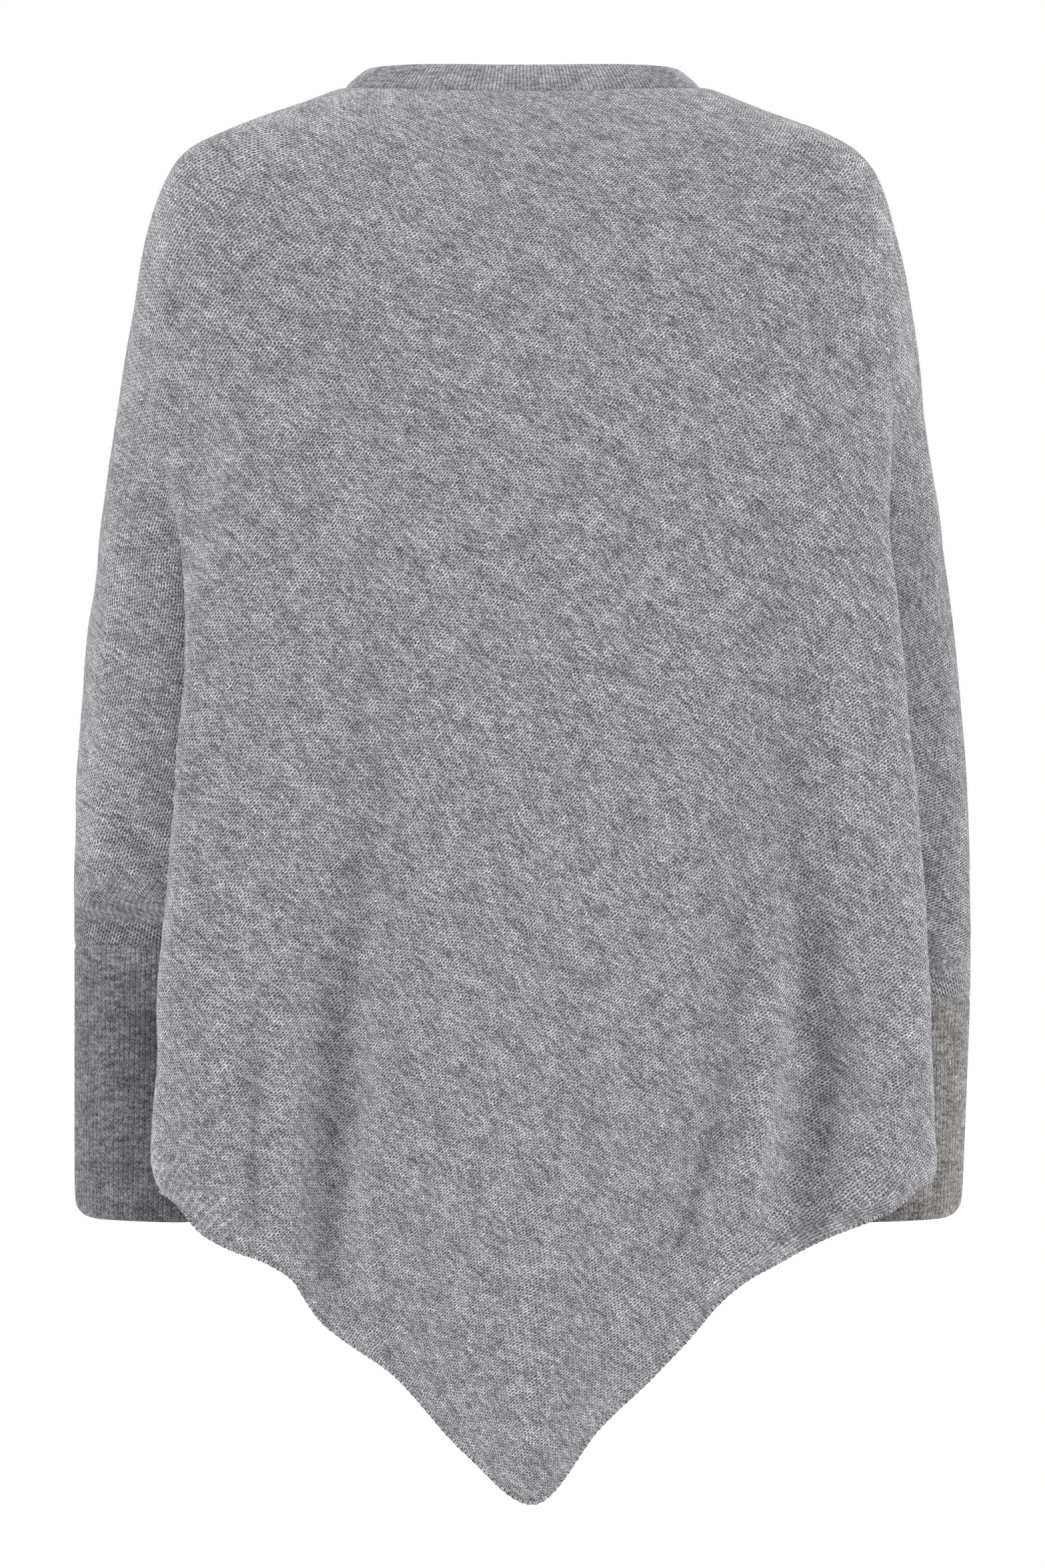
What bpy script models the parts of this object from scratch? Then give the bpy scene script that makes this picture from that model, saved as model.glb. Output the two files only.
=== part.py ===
"""A knitted poncho sweater with batwing sleeves, in the hollow form that it has when it is worn.

The back and the front are one panel each: half of the body, half of both sleeves and a knitted-in
hem border. They meet in an overarm seam, from the neck to each cuff, and in an underarm seam, from
each cuff to the hem. A rib neckband and two long rib cuffs are linked on.

Frame: the neck points of the shoulders are at z = 0, the wearer faces +Y and the back is at -Y.
A drop is a distance below the neck points. Sizes are in metres.
"""

import bpy
import numpy as np

# Cloth.
WALL = 0.002
SEAM_GAP = 0.0003

# Neck opening and the band around it.
NECK_HALF_WIDTH = 0.0998
BACK_NECK_DROP = 0.005
FRONT_NECK_DROP = 0.052
NECK_REACH = 0.20
BAND_RISE_BACK = 0.0163
BAND_RISE_SIDE = 0.0125
BAND_TOP_WIDTH = 0.853
BAND_TOP_DEPTH = 0.90
BAND_MIDDLE_SHARE = 0.55

# Underarm point, where body and sleeve part, and the cuff below it.
UNDERARM_DROP = 0.483
CUFF_TOP_DROP = 0.495
CUFF_END_DROP = 0.635
CUFF_CENTRE = 0.2125
CUFF_HALF_WIDTH = 0.0395
CUFF_HALF_DEPTH = 0.0270
CUFF_END_HALF_WIDTH = 0.0375
CUFF_FACES_ROUND = 24
CUFF_PARTS = (0.0, 0.35, 0.7, 1.0)
SEAM_Y = 0.020
RIGHT_WRIST_IN = 0.005

# The garment hangs lower on its right, fully so from this far out.
RIGHT_SIDE_LOWER = 0.0145
LEANS_FULLY_AT = 0.2

# Which way the two panels face.
BACK = -1
FRONT = 1

# The outer edge of shoulders and sleeves.
OUTLINE_COLUMNS = ("drop", "half_width")
OUTLINE = (
    (0.000, 0.0998),
    (0.005, 0.1150),
    (0.011, 0.1310),
    (0.017, 0.1480),
    (0.023, 0.1650),
    (0.029, 0.1795),
    (0.035, 0.1890),
    (0.044, 0.1960),
    (0.061, 0.2033),
    (0.106, 0.2141),
    (0.166, 0.2239),
    (0.226, 0.2331),
    (0.286, 0.2406),
    (0.346, 0.2472),
    (0.406, 0.2507),
    (0.473, 0.2522),
    (0.495, 0.2520),
)

# The outermost line of shoulders and sleeves lies at ridge_y. The cloth stands out behind and in
# front of it on the centre line, and the overarm seam lies a little behind it on the right.
DEPTH_COLUMNS = ("drop", "back", "front", "ridge_y", "seam_shift")
DEPTH = (
    (0.000, 0.062, 0.070, 0.000, 0.010),
    (0.020, 0.074, 0.080, 0.000, 0.015),
    (0.044, 0.084, 0.090, 0.000, 0.018),
    (0.100, 0.099, 0.106, 0.001, 0.020),
    (0.180, 0.108, 0.118, 0.004, 0.020),
    (0.260, 0.114, 0.120, 0.008, 0.018),
    (0.360, 0.121, 0.114, 0.014, 0.013),
    (0.440, 0.127, 0.110, 0.018, 0.004),
    (0.483, 0.129, 0.108, 0.020, 0.000),
    (0.640, 0.134, 0.106, 0.020, 0.000),
    (0.800, 0.137, 0.108, 0.020, 0.000),
)
LEFT_SHIFT = -0.4

# The side of the garment. The body panel folds back on itself at the fold, runs in to the groove
# between body and sleeve, and out again over the sleeve. Depths are from the overarm seam.
SIDE_COLUMNS = (
    "drop",
    "fold_right",
    "fold_left",
    "fold_depth",
    "groove",
    "groove_depth",
    "sleeve_in",
    "sleeve_in_depth",
    "sleeve_out",
    "sleeve_out_depth",
)
SIDE = (
    (0.150, 0.1925, 0.1850, 0.064, 0.2090, 0.045, 0.2160, 0.031, 0.2200, 0.018),
    (0.205, 0.1980, 0.1775, 0.073, 0.2010, 0.056, 0.2130, 0.047, 0.2265, 0.030),
    (0.255, 0.2030, 0.1825, 0.080, 0.1890, 0.058, 0.2060, 0.054, 0.2300, 0.037),
    (0.305, 0.2088, 0.1865, 0.087, 0.1770, 0.055, 0.1960, 0.057, 0.2310, 0.039),
    (0.355, 0.2140, 0.1900, 0.093, 0.1700, 0.048, 0.1890, 0.054, 0.2340, 0.037),
    (0.405, 0.2185, 0.1940, 0.098, 0.1670, 0.038, 0.1860, 0.046, 0.2360, 0.031),
    (0.445, 0.2213, 0.1960, 0.100, 0.1665, 0.025, 0.1870, 0.036, 0.2390, 0.024),
    (0.471, 0.2228, 0.1972, 0.101, 0.1670, 0.012, 0.1890, 0.029, 0.2405, 0.019),
    (0.483, 0.2235, 0.1980, 0.101, 0.1680, 0.000, 0.1910, 0.026, 0.2415, 0.0175),
    (0.560, 0.2263, 0.2012, 0.100, 0.1610, 0.000, 0.1910, 0.026, 0.2415, 0.0175),
    (0.620, 0.2288, 0.2050, 0.099, 0.1600, 0.000, 0.1910, 0.026, 0.2415, 0.0175),
    (0.800, 0.2293, 0.2055, 0.099, 0.1600, 0.000, 0.1910, 0.026, 0.2415, 0.0175),
)

# The pointed hem of the back. Past the folds, x goes on round the side.
HEM_COLUMNS = ("x", "drop")
HEM = (
    (-0.300, 0.598),
    (-0.203, 0.616),
    (-0.178, 0.637),
    (-0.130, 0.660),
    (-0.110, 0.686),
    (-0.071, 0.714),
    (-0.031, 0.757),
    (0.0055, 0.7846),
    (0.0425, 0.743),
    (0.0865, 0.700),
    (0.116, 0.669),
    (0.162, 0.642),
    (0.204, 0.627),
    (0.229, 0.610),
    (0.310, 0.598),
)

# Long folds in the panels, from where each begins to the hem. Depth is inwards.
FOLD_COLUMNS = ("face", "x_start", "drop_start", "x_middle", "x_hem", "half_width", "depth")
FOLDS = (
    (BACK, 0.145, 0.320, 0.163, 0.153, 0.026, 0.030),
    (BACK, 0.112, 0.400, 0.108, 0.087, 0.022, 0.010),
    (BACK, -0.082, 0.330, -0.104, -0.108, 0.028, 0.024),
    (BACK, -0.147, 0.520, -0.153, -0.160, 0.018, 0.008),
    (FRONT, 0.140, 0.340, 0.150, 0.145, 0.028, 0.026),
    (FRONT, 0.052, 0.430, 0.060, 0.068, 0.024, 0.012),
    (FRONT, -0.060, 0.380, -0.072, -0.078, 0.026, 0.014),
    (FRONT, -0.140, 0.330, -0.152, -0.150, 0.028, 0.024),
)

# A fold has its full depth from this drop on. It fades out where the cloth turns to the side, at
# depths between these two from the side seam.
FOLDS_FULL_DROP = 0.66
FOLD_REACH_LIMIT = 1.2
FOLD_FADES_FROM = 0.05
FOLD_FULL_FROM = 0.08

# The front's hem is the mean of both sides and a little higher, which comes in over these drops.
FRONT_HEM_RAISE = 0.004
FRONT_RAISE_FROM = 0.6
FRONT_RAISE_FULL = 0.7

# Section heights, and how the body below the underarm point is divided on its way to the hem.
SECTION_DROPS = (
    0.0, 0.005, 0.011, 0.018, 0.026, 0.035, 0.047, 0.066, 0.095,
    0.130, 0.170, 0.215, 0.260, 0.310, 0.360, 0.410, 0.448, 0.471, UNDERARM_DROP,
)  # fmt: skip
HEM_PARTS = (0.12, 0.27, 0.44, 0.62, 0.81, 1.0)
HEM_SECTION_DROP = 0.62

# Landmarks of one side of a section, from the centre line to the overarm seam: their angle on the
# plain rounded section of the shoulders, as a share of a quarter turn, and the number of faces up
# to the next one.
LANDMARK_TURNS = np.array((1.0, 0.73, 0.51, 0.36, 0.29, 0.22, 0.15, 0.07, 0.0))
FACES_BETWEEN = (4, 3, 3, 2, 2, 2, 2, 2)
GROOVE_LANDMARK = 5
SHOULDER_SQUARENESS = 2.4
GROOVE_BEGINS = 0.150
GROOVE_SET = 0.205

# The nearly flat middle of a panel: landmarks at shares of the way to the fold, each this much
# less deep than the centre line. The turn into the groove has its own landmark.
FLAT_SHARES = (0.42, 0.80)
FLAT_FALLS = (0.001, 0.009)
TURN_BULGE = 0.004
TURN_FOLD_SHARE = 0.45


def column(table, columns, name):
    return np.array([row[columns.index(name)] for row in table], float)


def along(table, columns, name, where):
    """The named column at one place along the first, on a smooth curve that never overshoots."""
    places = column(table, columns, columns[0])
    values = column(table, columns, name)
    slopes = np.diff(values) / np.diff(places)
    before, after = slopes[:-1], slopes[1:]
    same_way = before * after > 0
    total = np.where(same_way, before + after, 1.0)
    tangents = np.concatenate(
        ([slopes[0]], np.where(same_way, 2 * before * after / total, 0.0), [slopes[-1]])
    )
    where = min(max(where, places[0]), places[-1])
    i = min(int(np.searchsorted(places, where, side="right")) - 1, len(places) - 2)
    span = places[i + 1] - places[i]
    t = (where - places[i]) / span
    return (
        values[i] * (1 + 2 * t) * (1 - t) ** 2
        + values[i + 1] * t * t * (3 - 2 * t)
        + tangents[i] * span * t * (1 - t) ** 2
        + tangents[i + 1] * span * t * t * (t - 1)
    )


def ease(t):
    """0 below 0, 1 above 1 and smooth between."""
    t = np.clip(t, 0.0, 1.0)
    return t * t * (3 - 2 * t)


def landmarks(drop, side, face):
    """Plan points (x, y) from the centre line to the overarm seam, on one side of one panel."""
    half_width = along(OUTLINE, OUTLINE_COLUMNS, "half_width", drop)
    depth = along(DEPTH, DEPTH_COLUMNS, "back" if face == BACK else "front", drop)
    ridge_y = along(DEPTH, DEPTH_COLUMNS, "ridge_y", drop)
    shift = along(DEPTH, DEPTH_COLUMNS, "seam_shift", drop) * (1 if side > 0 else LEFT_SHIFT)
    seam_depth = -face * shift

    # Rounded section, from the middle to the seam's own angle.
    power = 2 / SHOULDER_SQUARENESS
    seam_turn = np.sign(seam_depth) * np.arcsin((abs(seam_depth) / depth) ** (1 / power))
    turns = seam_turn + LANDMARK_TURNS * (np.pi / 2 - seam_turn)
    rounded = np.column_stack(
        (
            half_width * np.abs(np.cos(turns)) ** power,
            depth * np.sign(turns) * np.abs(np.sin(turns)) ** power,
        )
    )

    # Section with a sleeve set off from the body by a groove.
    at = {name: along(SIDE, SIDE_COLUMNS, name, drop) for name in SIDE_COLUMNS[1:]}
    fold = at["fold_right"] if side > 0 else at["fold_left"]
    if face == FRONT:
        fold = (at["fold_right"] + at["fold_left"]) / 2
    fold_depth = at["fold_depth"] * depth / along(DEPTH, DEPTH_COLUMNS, "back", drop)
    turn_depth = TURN_FOLD_SHARE * fold_depth + (1 - TURN_FOLD_SHARE) * at["groove_depth"]
    sleeve_radius = max(at["sleeve_in_depth"], CUFF_HALF_DEPTH)
    seam_inset = CUFF_HALF_WIDTH * (1 - np.sqrt(1 - (seam_depth / sleeve_radius) ** 2))
    turned = np.array(
        (
            (0.0, depth),
            (FLAT_SHARES[0] * fold, depth - FLAT_FALLS[0]),
            (FLAT_SHARES[1] * fold, depth - FLAT_FALLS[1]),
            (fold, fold_depth),
            ((fold + at["groove"]) / 2 + TURN_BULGE, turn_depth),
            (at["groove"], at["groove_depth"]),
            (at["sleeve_in"], at["sleeve_in_depth"]),
            (at["sleeve_out"], at["sleeve_out_depth"]),
            (half_width - seam_inset, seam_depth),
        )
    )
    share = ease((drop - GROOVE_BEGINS) / (GROOVE_SET - GROOVE_BEGINS))
    points = rounded * (1 - share) + turned * share
    return points * (side, face) + (0.0, ridge_y)


def curve(points, faces_between):
    """Points on a smooth plan curve. The first and last landmarks only steer its ends."""
    knots = np.concatenate(
        ([0], np.cumsum(np.linalg.norm(np.diff(points, axis=0), axis=1) ** 0.5 + 1e-9))
    )
    found = [points[1]]
    for i, count in enumerate(faces_between, start=1):
        k = knots[i - 1 : i + 3]
        p = points[i - 1 : i + 3]
        for step in range(1, count + 1):
            t = k[1] + (k[2] - k[1]) * step / count
            a = [
                p[j] * (k[j + 1] - t) / (k[j + 1] - k[j]) + p[j + 1] * (t - k[j]) / (k[j + 1] - k[j])
                for j in range(3)
            ]
            b = [
                a[j] * (k[j + 2] - t) / (k[j + 2] - k[j]) + a[j + 1] * (t - k[j]) / (k[j + 2] - k[j])
                for j in range(2)
            ]
            found.append(b[0] * (k[2] - t) / (k[2] - k[1]) + b[1] * (t - k[1]) / (k[2] - k[1]))
    return np.array(found)


def lean(x, drop):
    """How much lower a point is for the garment hanging lower on its right."""
    sideways = np.clip(x / LEANS_FULLY_AT, -1, 1)
    return RIGHT_SIDE_LOWER * sideways * (drop / UNDERARM_DROP) ** 2


def whole_section(drop, face):
    """Plan points of one panel at one drop, from the left overarm seam to the right one."""
    left, right = landmarks(drop, -1, face), landmarks(drop, 1, face)
    past_left, past_right = landmarks(drop, -1, -face)[-2], landmarks(drop, 1, -face)[-2]
    steering = np.vstack((past_left, left[::-1], right[1:], past_right))
    plan = curve(steering, FACES_BETWEEN[::-1] + FACES_BETWEEN)
    plan[[0, -1], 1] += face * SEAM_GAP / 2
    return plan


def body_section(drop, face):
    """Plan points of one panel's body below the underarm points, from side seam to side seam."""
    last = GROOVE_LANDMARK + 1
    left, right = landmarks(drop, -1, face)[:last], landmarks(drop, 1, face)[:last]
    other_left, other_right = landmarks(drop, -1, -face)[last - 2], landmarks(drop, 1, -face)[last - 2]
    steering = np.vstack((other_left, left[::-1], right[1:], other_right))
    counts = FACES_BETWEEN[:GROOVE_LANDMARK]
    plan = curve(steering, counts[::-1] + counts)
    plan[[0, -1], 1] = SEAM_Y + face * SEAM_GAP / 2
    return plan


def cuff_ring(angles, side, half_width=CUFF_HALF_WIDTH):
    """Plan points round a cuff. Angle 0 is the outermost point, and a quarter turn is the front."""
    centre = CUFF_CENTRE + CUFF_HALF_WIDTH - half_width
    x = side * (centre + half_width * np.cos(angles))
    return np.column_stack((x, SEAM_Y + CUFF_HALF_DEPTH * np.sin(angles)))


def folded(plan, z, face):
    """The plan points with the panel's long folds pressed in."""
    x = plan[:, 0]
    y = plan[:, 1].copy()
    for row in FOLDS:
        fold = dict(zip(FOLD_COLUMNS, row))
        if fold["face"] != face:
            continue
        length = FOLDS_FULL_DROP - fold["drop_start"]
        reach = np.clip((-z - fold["drop_start"]) / length, 0, FOLD_REACH_LIMIT)
        middle = fold["x_start"] * (1 - reach) * (1 - 2 * reach) + fold["x_hem"] * reach * (2 * reach - 1)
        middle += 4 * fold["x_middle"] * reach * (1 - reach)
        press = np.exp(-(((x - middle) / fold["half_width"]) ** 2)) * ease(reach)
        from_side = np.abs(y - SEAM_Y)
        inside = ease((from_side - FOLD_FADES_FROM) / (FOLD_FULL_FROM - FOLD_FADES_FROM))
        y -= face * fold["depth"] * press * inside
    return np.column_stack((x, y))


def hem_drops(plan, face):
    """The drop of the hem at each plan point. Past a fold, it runs up to the side seam."""
    x = plan[:, 0]
    right_fold, left_fold = int(np.argmax(x)), int(np.argmin(x))
    steps = np.concatenate(([0], np.cumsum(np.linalg.norm(np.diff(plan, axis=0), axis=1))))
    places = x.copy()
    places[right_fold:] = x[right_fold] + steps[right_fold:] - steps[right_fold]
    places[: left_fold + 1] = x[left_fold] - (steps[left_fold] - steps[: left_fold + 1])
    drops = np.array([along(HEM, HEM_COLUMNS, "drop", place) for place in places])
    if face == FRONT:
        mirrored = np.array([along(HEM, HEM_COLUMNS, "drop", -place) for place in places])
        share = ease((drops - FRONT_RAISE_FROM) / (FRONT_RAISE_FULL - FRONT_RAISE_FROM))
        drops = (drops + mirrored) / 2 - FRONT_HEM_RAISE * share
    return drops


def panel_surface(face):
    """One panel's middle surface: points, quads, the neckline's row and the points on its seams."""
    points, quads, seams = [], [], []

    def add_row(plan, z):
        first = len(points)
        points.extend(np.column_stack((plan, z)))
        return list(range(first, first + len(plan)))

    def join(upper, lower):
        for i in range(len(upper) - 1):
            quad = (upper[i], upper[i + 1], lower[i + 1], lower[i])
            quads.append(quad if face == FRONT else quad[::-1])

    # Body and sleeves in one, from the neckline to the underarm points.
    upper = None
    groove = sum(FACES_BETWEEN[GROOVE_LANDMARK:])
    for drop in SECTION_DROPS:
        plan = whole_section(drop, face)
        half_width = along(OUTLINE, OUTLINE_COLUMNS, "half_width", drop)
        dip = np.clip(1 - (plan[:, 0] / half_width) ** 2, 0, 1) * max(0.0, 1 - drop / NECK_REACH) ** 2
        z = -drop - lean(plan[:, 0], drop) - dip * (BACK_NECK_DROP if face == BACK else FRONT_NECK_DROP)
        if drop == UNDERARM_DROP:
            plan[[groove, -1 - groove], 1] = SEAM_Y + face * SEAM_GAP / 2
        row = add_row(folded(plan, z, face), z)
        seams += [row[0], row[-1]]
        if upper is None:
            neckline = row
        else:
            join(upper, row)
        upper = row
    underarm_row, underarm_z = row, z

    # Body only, down to the hem.
    inner = slice(groove, len(row) - groove)
    upper = underarm_row[inner]
    hem_z = -hem_drops(body_section(HEM_SECTION_DROP, face), face)
    for part in HEM_PARTS:
        z = underarm_z[inner] * (1 - part) + hem_z * part
        plan = body_section(UNDERARM_DROP + (HEM_SECTION_DROP - UNDERARM_DROP) * part, face)
        lower = add_row(folded(plan, z, face), z)
        seams += [lower[0], lower[-1]]
        join(upper, lower)
        upper = lower

    # Sleeve ends, drawn in to the cuffs.
    turns = np.linspace(0, np.pi, groove + 1)
    for side, upper, angles in (
        (-1, underarm_row[: groove + 1], turns),
        (1, underarm_row[-1 - groove :], turns[::-1]),
    ):
        plan = cuff_ring(face * angles, side)
        plan[[0, -1], 1] = SEAM_Y + face * SEAM_GAP / 2
        z = -CUFF_TOP_DROP + SEAM_GAP / 2 - lean(plan[:, 0], UNDERARM_DROP)
        lower = add_row(plan, z)
        seams += [lower[0], lower[-1]]
        join(upper, lower)
    underarm_points = [underarm_row[groove], underarm_row[-1 - groove]]
    return np.array(points), quads, neckline, seams, underarm_points


def surface_normals(points, quads):
    """The direction out of the surface at each point, averaged over the quads round it."""
    normals = np.zeros_like(points)
    for quad in quads:
        corner = points[list(quad)]
        across = np.cross(corner[2] - corner[0], corner[3] - corner[1])
        for index in quad:
            normals[index] += across
    return unit(normals)


def unit(vectors):
    return vectors / np.linalg.norm(vectors, axis=1)[:, None]


def edges_used_once(quads):
    count = {}
    for quad in quads:
        for a, b in zip(quad, quad[1:] + quad[:1]):
            count.setdefault(frozenset((a, b)), []).append((a, b))
    return [found[0] for found in count.values() if len(found) == 1]


def wool(name, colour):
    """Mid-grey marl knit: matt, with no metal."""
    material = bpy.data.materials.new(name)
    material.use_nodes = True
    shader = material.node_tree.nodes["Principled BSDF"]
    shader.inputs["Base Color"].default_value = (*colour, 1.0)
    shader.inputs["Roughness"].default_value = 0.95
    shader.inputs["Metallic"].default_value = 0.0
    material.diffuse_color = (*colour, 1.0)
    return material


def cloth_solid(name, points, normals, quads, colour, collection):
    """A closed wall of cloth round a middle surface: a loft, because its sections are unlike."""
    outer = points + normals * WALL / 2
    inner = points - normals * WALL / 2
    shift = len(points)
    faces = [tuple(quad) for quad in quads]
    faces += [tuple(index + shift for index in reversed(quad)) for quad in quads]
    faces += [(b, a, a + shift, b + shift) for a, b in edges_used_once(quads)]
    mesh = bpy.data.meshes.new(name)
    mesh.from_pydata([tuple(p) for p in np.vstack((outer, inner))], [], faces)
    mesh.shade_smooth()
    mesh.set_sharp_from_angle(angle=np.radians(50))
    mesh.materials.append(wool(f"marl_knit_{name}", colour))
    collection.objects.link(bpy.data.objects.new(name, mesh))


def band_top(line):
    """The upper edge of the neckband over each point of the neckline."""
    centre_y = 0.5 * (line[:, 1].min() + line[:, 1].max())
    sideways = np.clip(np.abs(line[:, 0]) / NECK_HALF_WIDTH, 0, 1) ** 3
    rise = BAND_RISE_BACK * (1 - sideways) + BAND_RISE_SIDE * sideways
    top = line * (BAND_TOP_WIDTH, BAND_TOP_DEPTH, 1.0)
    top[:, 1] += centre_y * (1 - BAND_TOP_DEPTH)
    top[:, 2] += rise
    return top


def ring_quads(levels, count):
    """Quads between closed rows of points, each row above the one before."""
    quads = []
    for low in range(0, (levels - 1) * count, count):
        for i in range(count):
            j = (i + 1) % count
            quads.append((low + i, low + j, low + count + j, low + count + i))
    return quads


def build_panels_and_neckband(collection):
    surfaces = {face: panel_surface(face) for face in (BACK, FRONT)}
    normals = {}
    for face, (points, quads, neckline, seams, underarm_points) in surfaces.items():
        # Along the seams both walls are cut square to Y, so the two panels stay apart.
        normals[face] = surface_normals(points, quads)
        normals[face][seams, 1] = 0.0
        normals[face][underarm_points] = (0.0, 0.0, -1.0)
        normals[face] = unit(normals[face])

    # The neckline runs from the left along the back, then from the right along the front. Its rim
    # halves the angle between panel and band, so that the two walls meet evenly.
    back_points, front_points = surfaces[BACK][0], surfaces[FRONT][0]
    back_row, front_row = surfaces[BACK][2], surfaces[FRONT][2][::-1]
    line = np.vstack((back_points[back_row], front_points[front_row]))
    cloth_out = np.vstack((normals[BACK][back_row], normals[FRONT][front_row]))
    top = band_top(line)
    run = np.roll(line, -1, axis=0) - np.roll(line, 1, axis=0)
    band_out = unit(np.cross(run, top - line))
    rim = cloth_out + band_out
    ends = [0, len(back_row) - 1, len(back_row), len(line) - 1]
    rim[ends, 1] = 0.0
    rim = unit(rim)
    upwards = unit(np.cross(rim, run))
    upwards[ends, 1] = 0.0
    panel_edge = line - upwards * SEAM_GAP / 2
    back_points[back_row] = panel_edge[: len(back_row)]
    front_points[front_row] = panel_edge[len(back_row) :]
    normals[BACK][back_row] = rim[: len(back_row)]
    normals[FRONT][front_row] = rim[len(back_row) :]

    for face, name, colour in (
        (BACK, "back_panel", (0.315, 0.311, 0.325)),
        (FRONT, "front_panel", (0.305, 0.301, 0.315)),
    ):
        points, quads = surfaces[face][:2]
        cloth_solid(name, points, normals[face], quads, colour, collection)

    middle = (1 - BAND_MIDDLE_SHARE) * line + BAND_MIDDLE_SHARE * top
    levels = (line + upwards * SEAM_GAP / 2, middle, top)
    directions = np.vstack((rim, band_out, band_out))
    quads = ring_quads(len(levels), len(line))
    cloth_solid("neckband", np.vstack(levels), directions, quads, (0.322, 0.318, 0.332), collection)


def build_cuff(name, side, colour, collection):
    """A tube that hangs from a sleeve end. Its rows run from the wrist edge up to the seam."""
    turns = np.linspace(0, 2 * np.pi, CUFF_FACES_ROUND, endpoint=False)[::side]
    levels, directions = [], []
    for part in CUFF_PARTS:
        half_width = CUFF_HALF_WIDTH * part + CUFF_END_HALF_WIDTH * (1 - part)
        plan = cuff_ring(turns, side, half_width)
        plan[:, 0] -= max(side, 0) * RIGHT_WRIST_IN * (1 - part)
        top_z = -CUFF_TOP_DROP - SEAM_GAP / 2 - lean(plan[:, 0], UNDERARM_DROP)
        z = top_z * part - CUFF_END_DROP * (1 - part)
        levels.append(np.column_stack((plan, z)))
        out = np.column_stack(
            (side * np.cos(turns) / half_width, np.sin(turns) / CUFF_HALF_DEPTH, np.zeros(len(turns)))
        )
        directions.append(unit(out))
    quads = ring_quads(len(levels), len(turns))
    cloth_solid(name, np.vstack(levels), np.vstack(directions), quads, colour, collection)


for old in list(bpy.data.objects):
    bpy.data.objects.remove(old)
garment = bpy.data.collections.new("poncho_sweater")
bpy.context.scene.collection.children.link(garment)
build_panels_and_neckband(garment)
build_cuff("left_cuff", -1, (0.250, 0.247, 0.256), garment)
build_cuff("right_cuff", 1, (0.265, 0.260, 0.262), garment)
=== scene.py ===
"""The looks of a knitted poncho sweater with batwing sleeves, in the hollow form it has when worn.

Metres, +Z up. The neck points of the shoulders are at z = 0, the wearer faces +Y and the back is
at -Y. A drop is a distance below the neck points, and a lean is an angle from the horizontal.
"""

import bpy
import numpy as np
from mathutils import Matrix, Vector
from mathutils.kdtree import KDTree


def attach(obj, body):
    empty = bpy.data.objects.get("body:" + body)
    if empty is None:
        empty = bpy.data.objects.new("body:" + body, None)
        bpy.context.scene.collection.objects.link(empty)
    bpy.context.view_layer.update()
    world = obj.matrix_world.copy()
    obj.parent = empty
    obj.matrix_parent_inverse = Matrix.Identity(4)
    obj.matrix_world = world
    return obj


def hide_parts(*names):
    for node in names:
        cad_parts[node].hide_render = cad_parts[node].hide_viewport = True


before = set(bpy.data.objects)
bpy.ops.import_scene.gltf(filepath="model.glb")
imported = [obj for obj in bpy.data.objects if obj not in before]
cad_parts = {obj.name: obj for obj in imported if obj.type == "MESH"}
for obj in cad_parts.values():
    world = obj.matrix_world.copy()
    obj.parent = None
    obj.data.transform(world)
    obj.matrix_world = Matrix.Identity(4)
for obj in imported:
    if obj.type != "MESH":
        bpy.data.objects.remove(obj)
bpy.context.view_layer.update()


# ------------------------------------------------------------------------------------ back panel
# The back of the body with the back halves of both sleeves, one piece of brushed marl wool in
# stockinette. It is knitted on the bias, with a rib border knitted in along the hem, and it is
# sewn to the front over the arms and down the sides. Its form is the form of its solid.

WALL = 0.002
BACK, FRONT = -1, 1
NECK_HALF_WIDTH = 0.0998
NECK_DIP = {BACK: 0.005, FRONT: 0.052}
NECK_REACH = 0.20
UNDERARM_DROP = 0.483
CUFF_TOP_DROP = 0.495
CUFF_CENTRE = 0.2125
CUFF_HALF_WIDTH = 0.0395
CUFF_HALF_DEPTH = 0.0270
SEAM_Y = 0.020
# The garment hangs lower on its right, fully so from this far out.
RIGHT_SIDE_LOWER, LEANS_FULLY_AT = 0.0145, 0.2

OUTLINE_COLUMNS = ("drop", "half_width")
OUTLINE = (
    (0.000, 0.0998),
    (0.005, 0.1150),
    (0.011, 0.1310),
    (0.017, 0.1480),
    (0.023, 0.1650),
    (0.029, 0.1795),
    (0.035, 0.1890),
    (0.044, 0.1960),
    (0.061, 0.2033),
    (0.106, 0.2141),
    (0.166, 0.2239),
    (0.226, 0.2331),
    (0.286, 0.2406),
    (0.346, 0.2472),
    (0.406, 0.2507),
    (0.473, 0.2522),
    (0.495, 0.2520),
)

# The overarm seam lies near ridge_y, a little behind it on the right.
DEPTH_COLUMNS = ("drop", "back", "front", "ridge_y", "seam_shift")
DEPTH = (
    (0.000, 0.062, 0.070, 0.000, 0.010),
    (0.020, 0.074, 0.080, 0.000, 0.015),
    (0.044, 0.084, 0.090, 0.000, 0.018),
    (0.100, 0.099, 0.106, 0.001, 0.020),
    (0.180, 0.108, 0.118, 0.004, 0.020),
    (0.260, 0.114, 0.120, 0.008, 0.018),
    (0.360, 0.121, 0.114, 0.014, 0.013),
    (0.440, 0.127, 0.110, 0.018, 0.004),
    (0.483, 0.129, 0.108, 0.020, 0.000),
    (0.640, 0.134, 0.106, 0.020, 0.000),
    (0.800, 0.137, 0.108, 0.020, 0.000),
)
# On the left it lies in front of the ridge instead, by this share.
LEFT_SHIFT = -0.4

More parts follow.
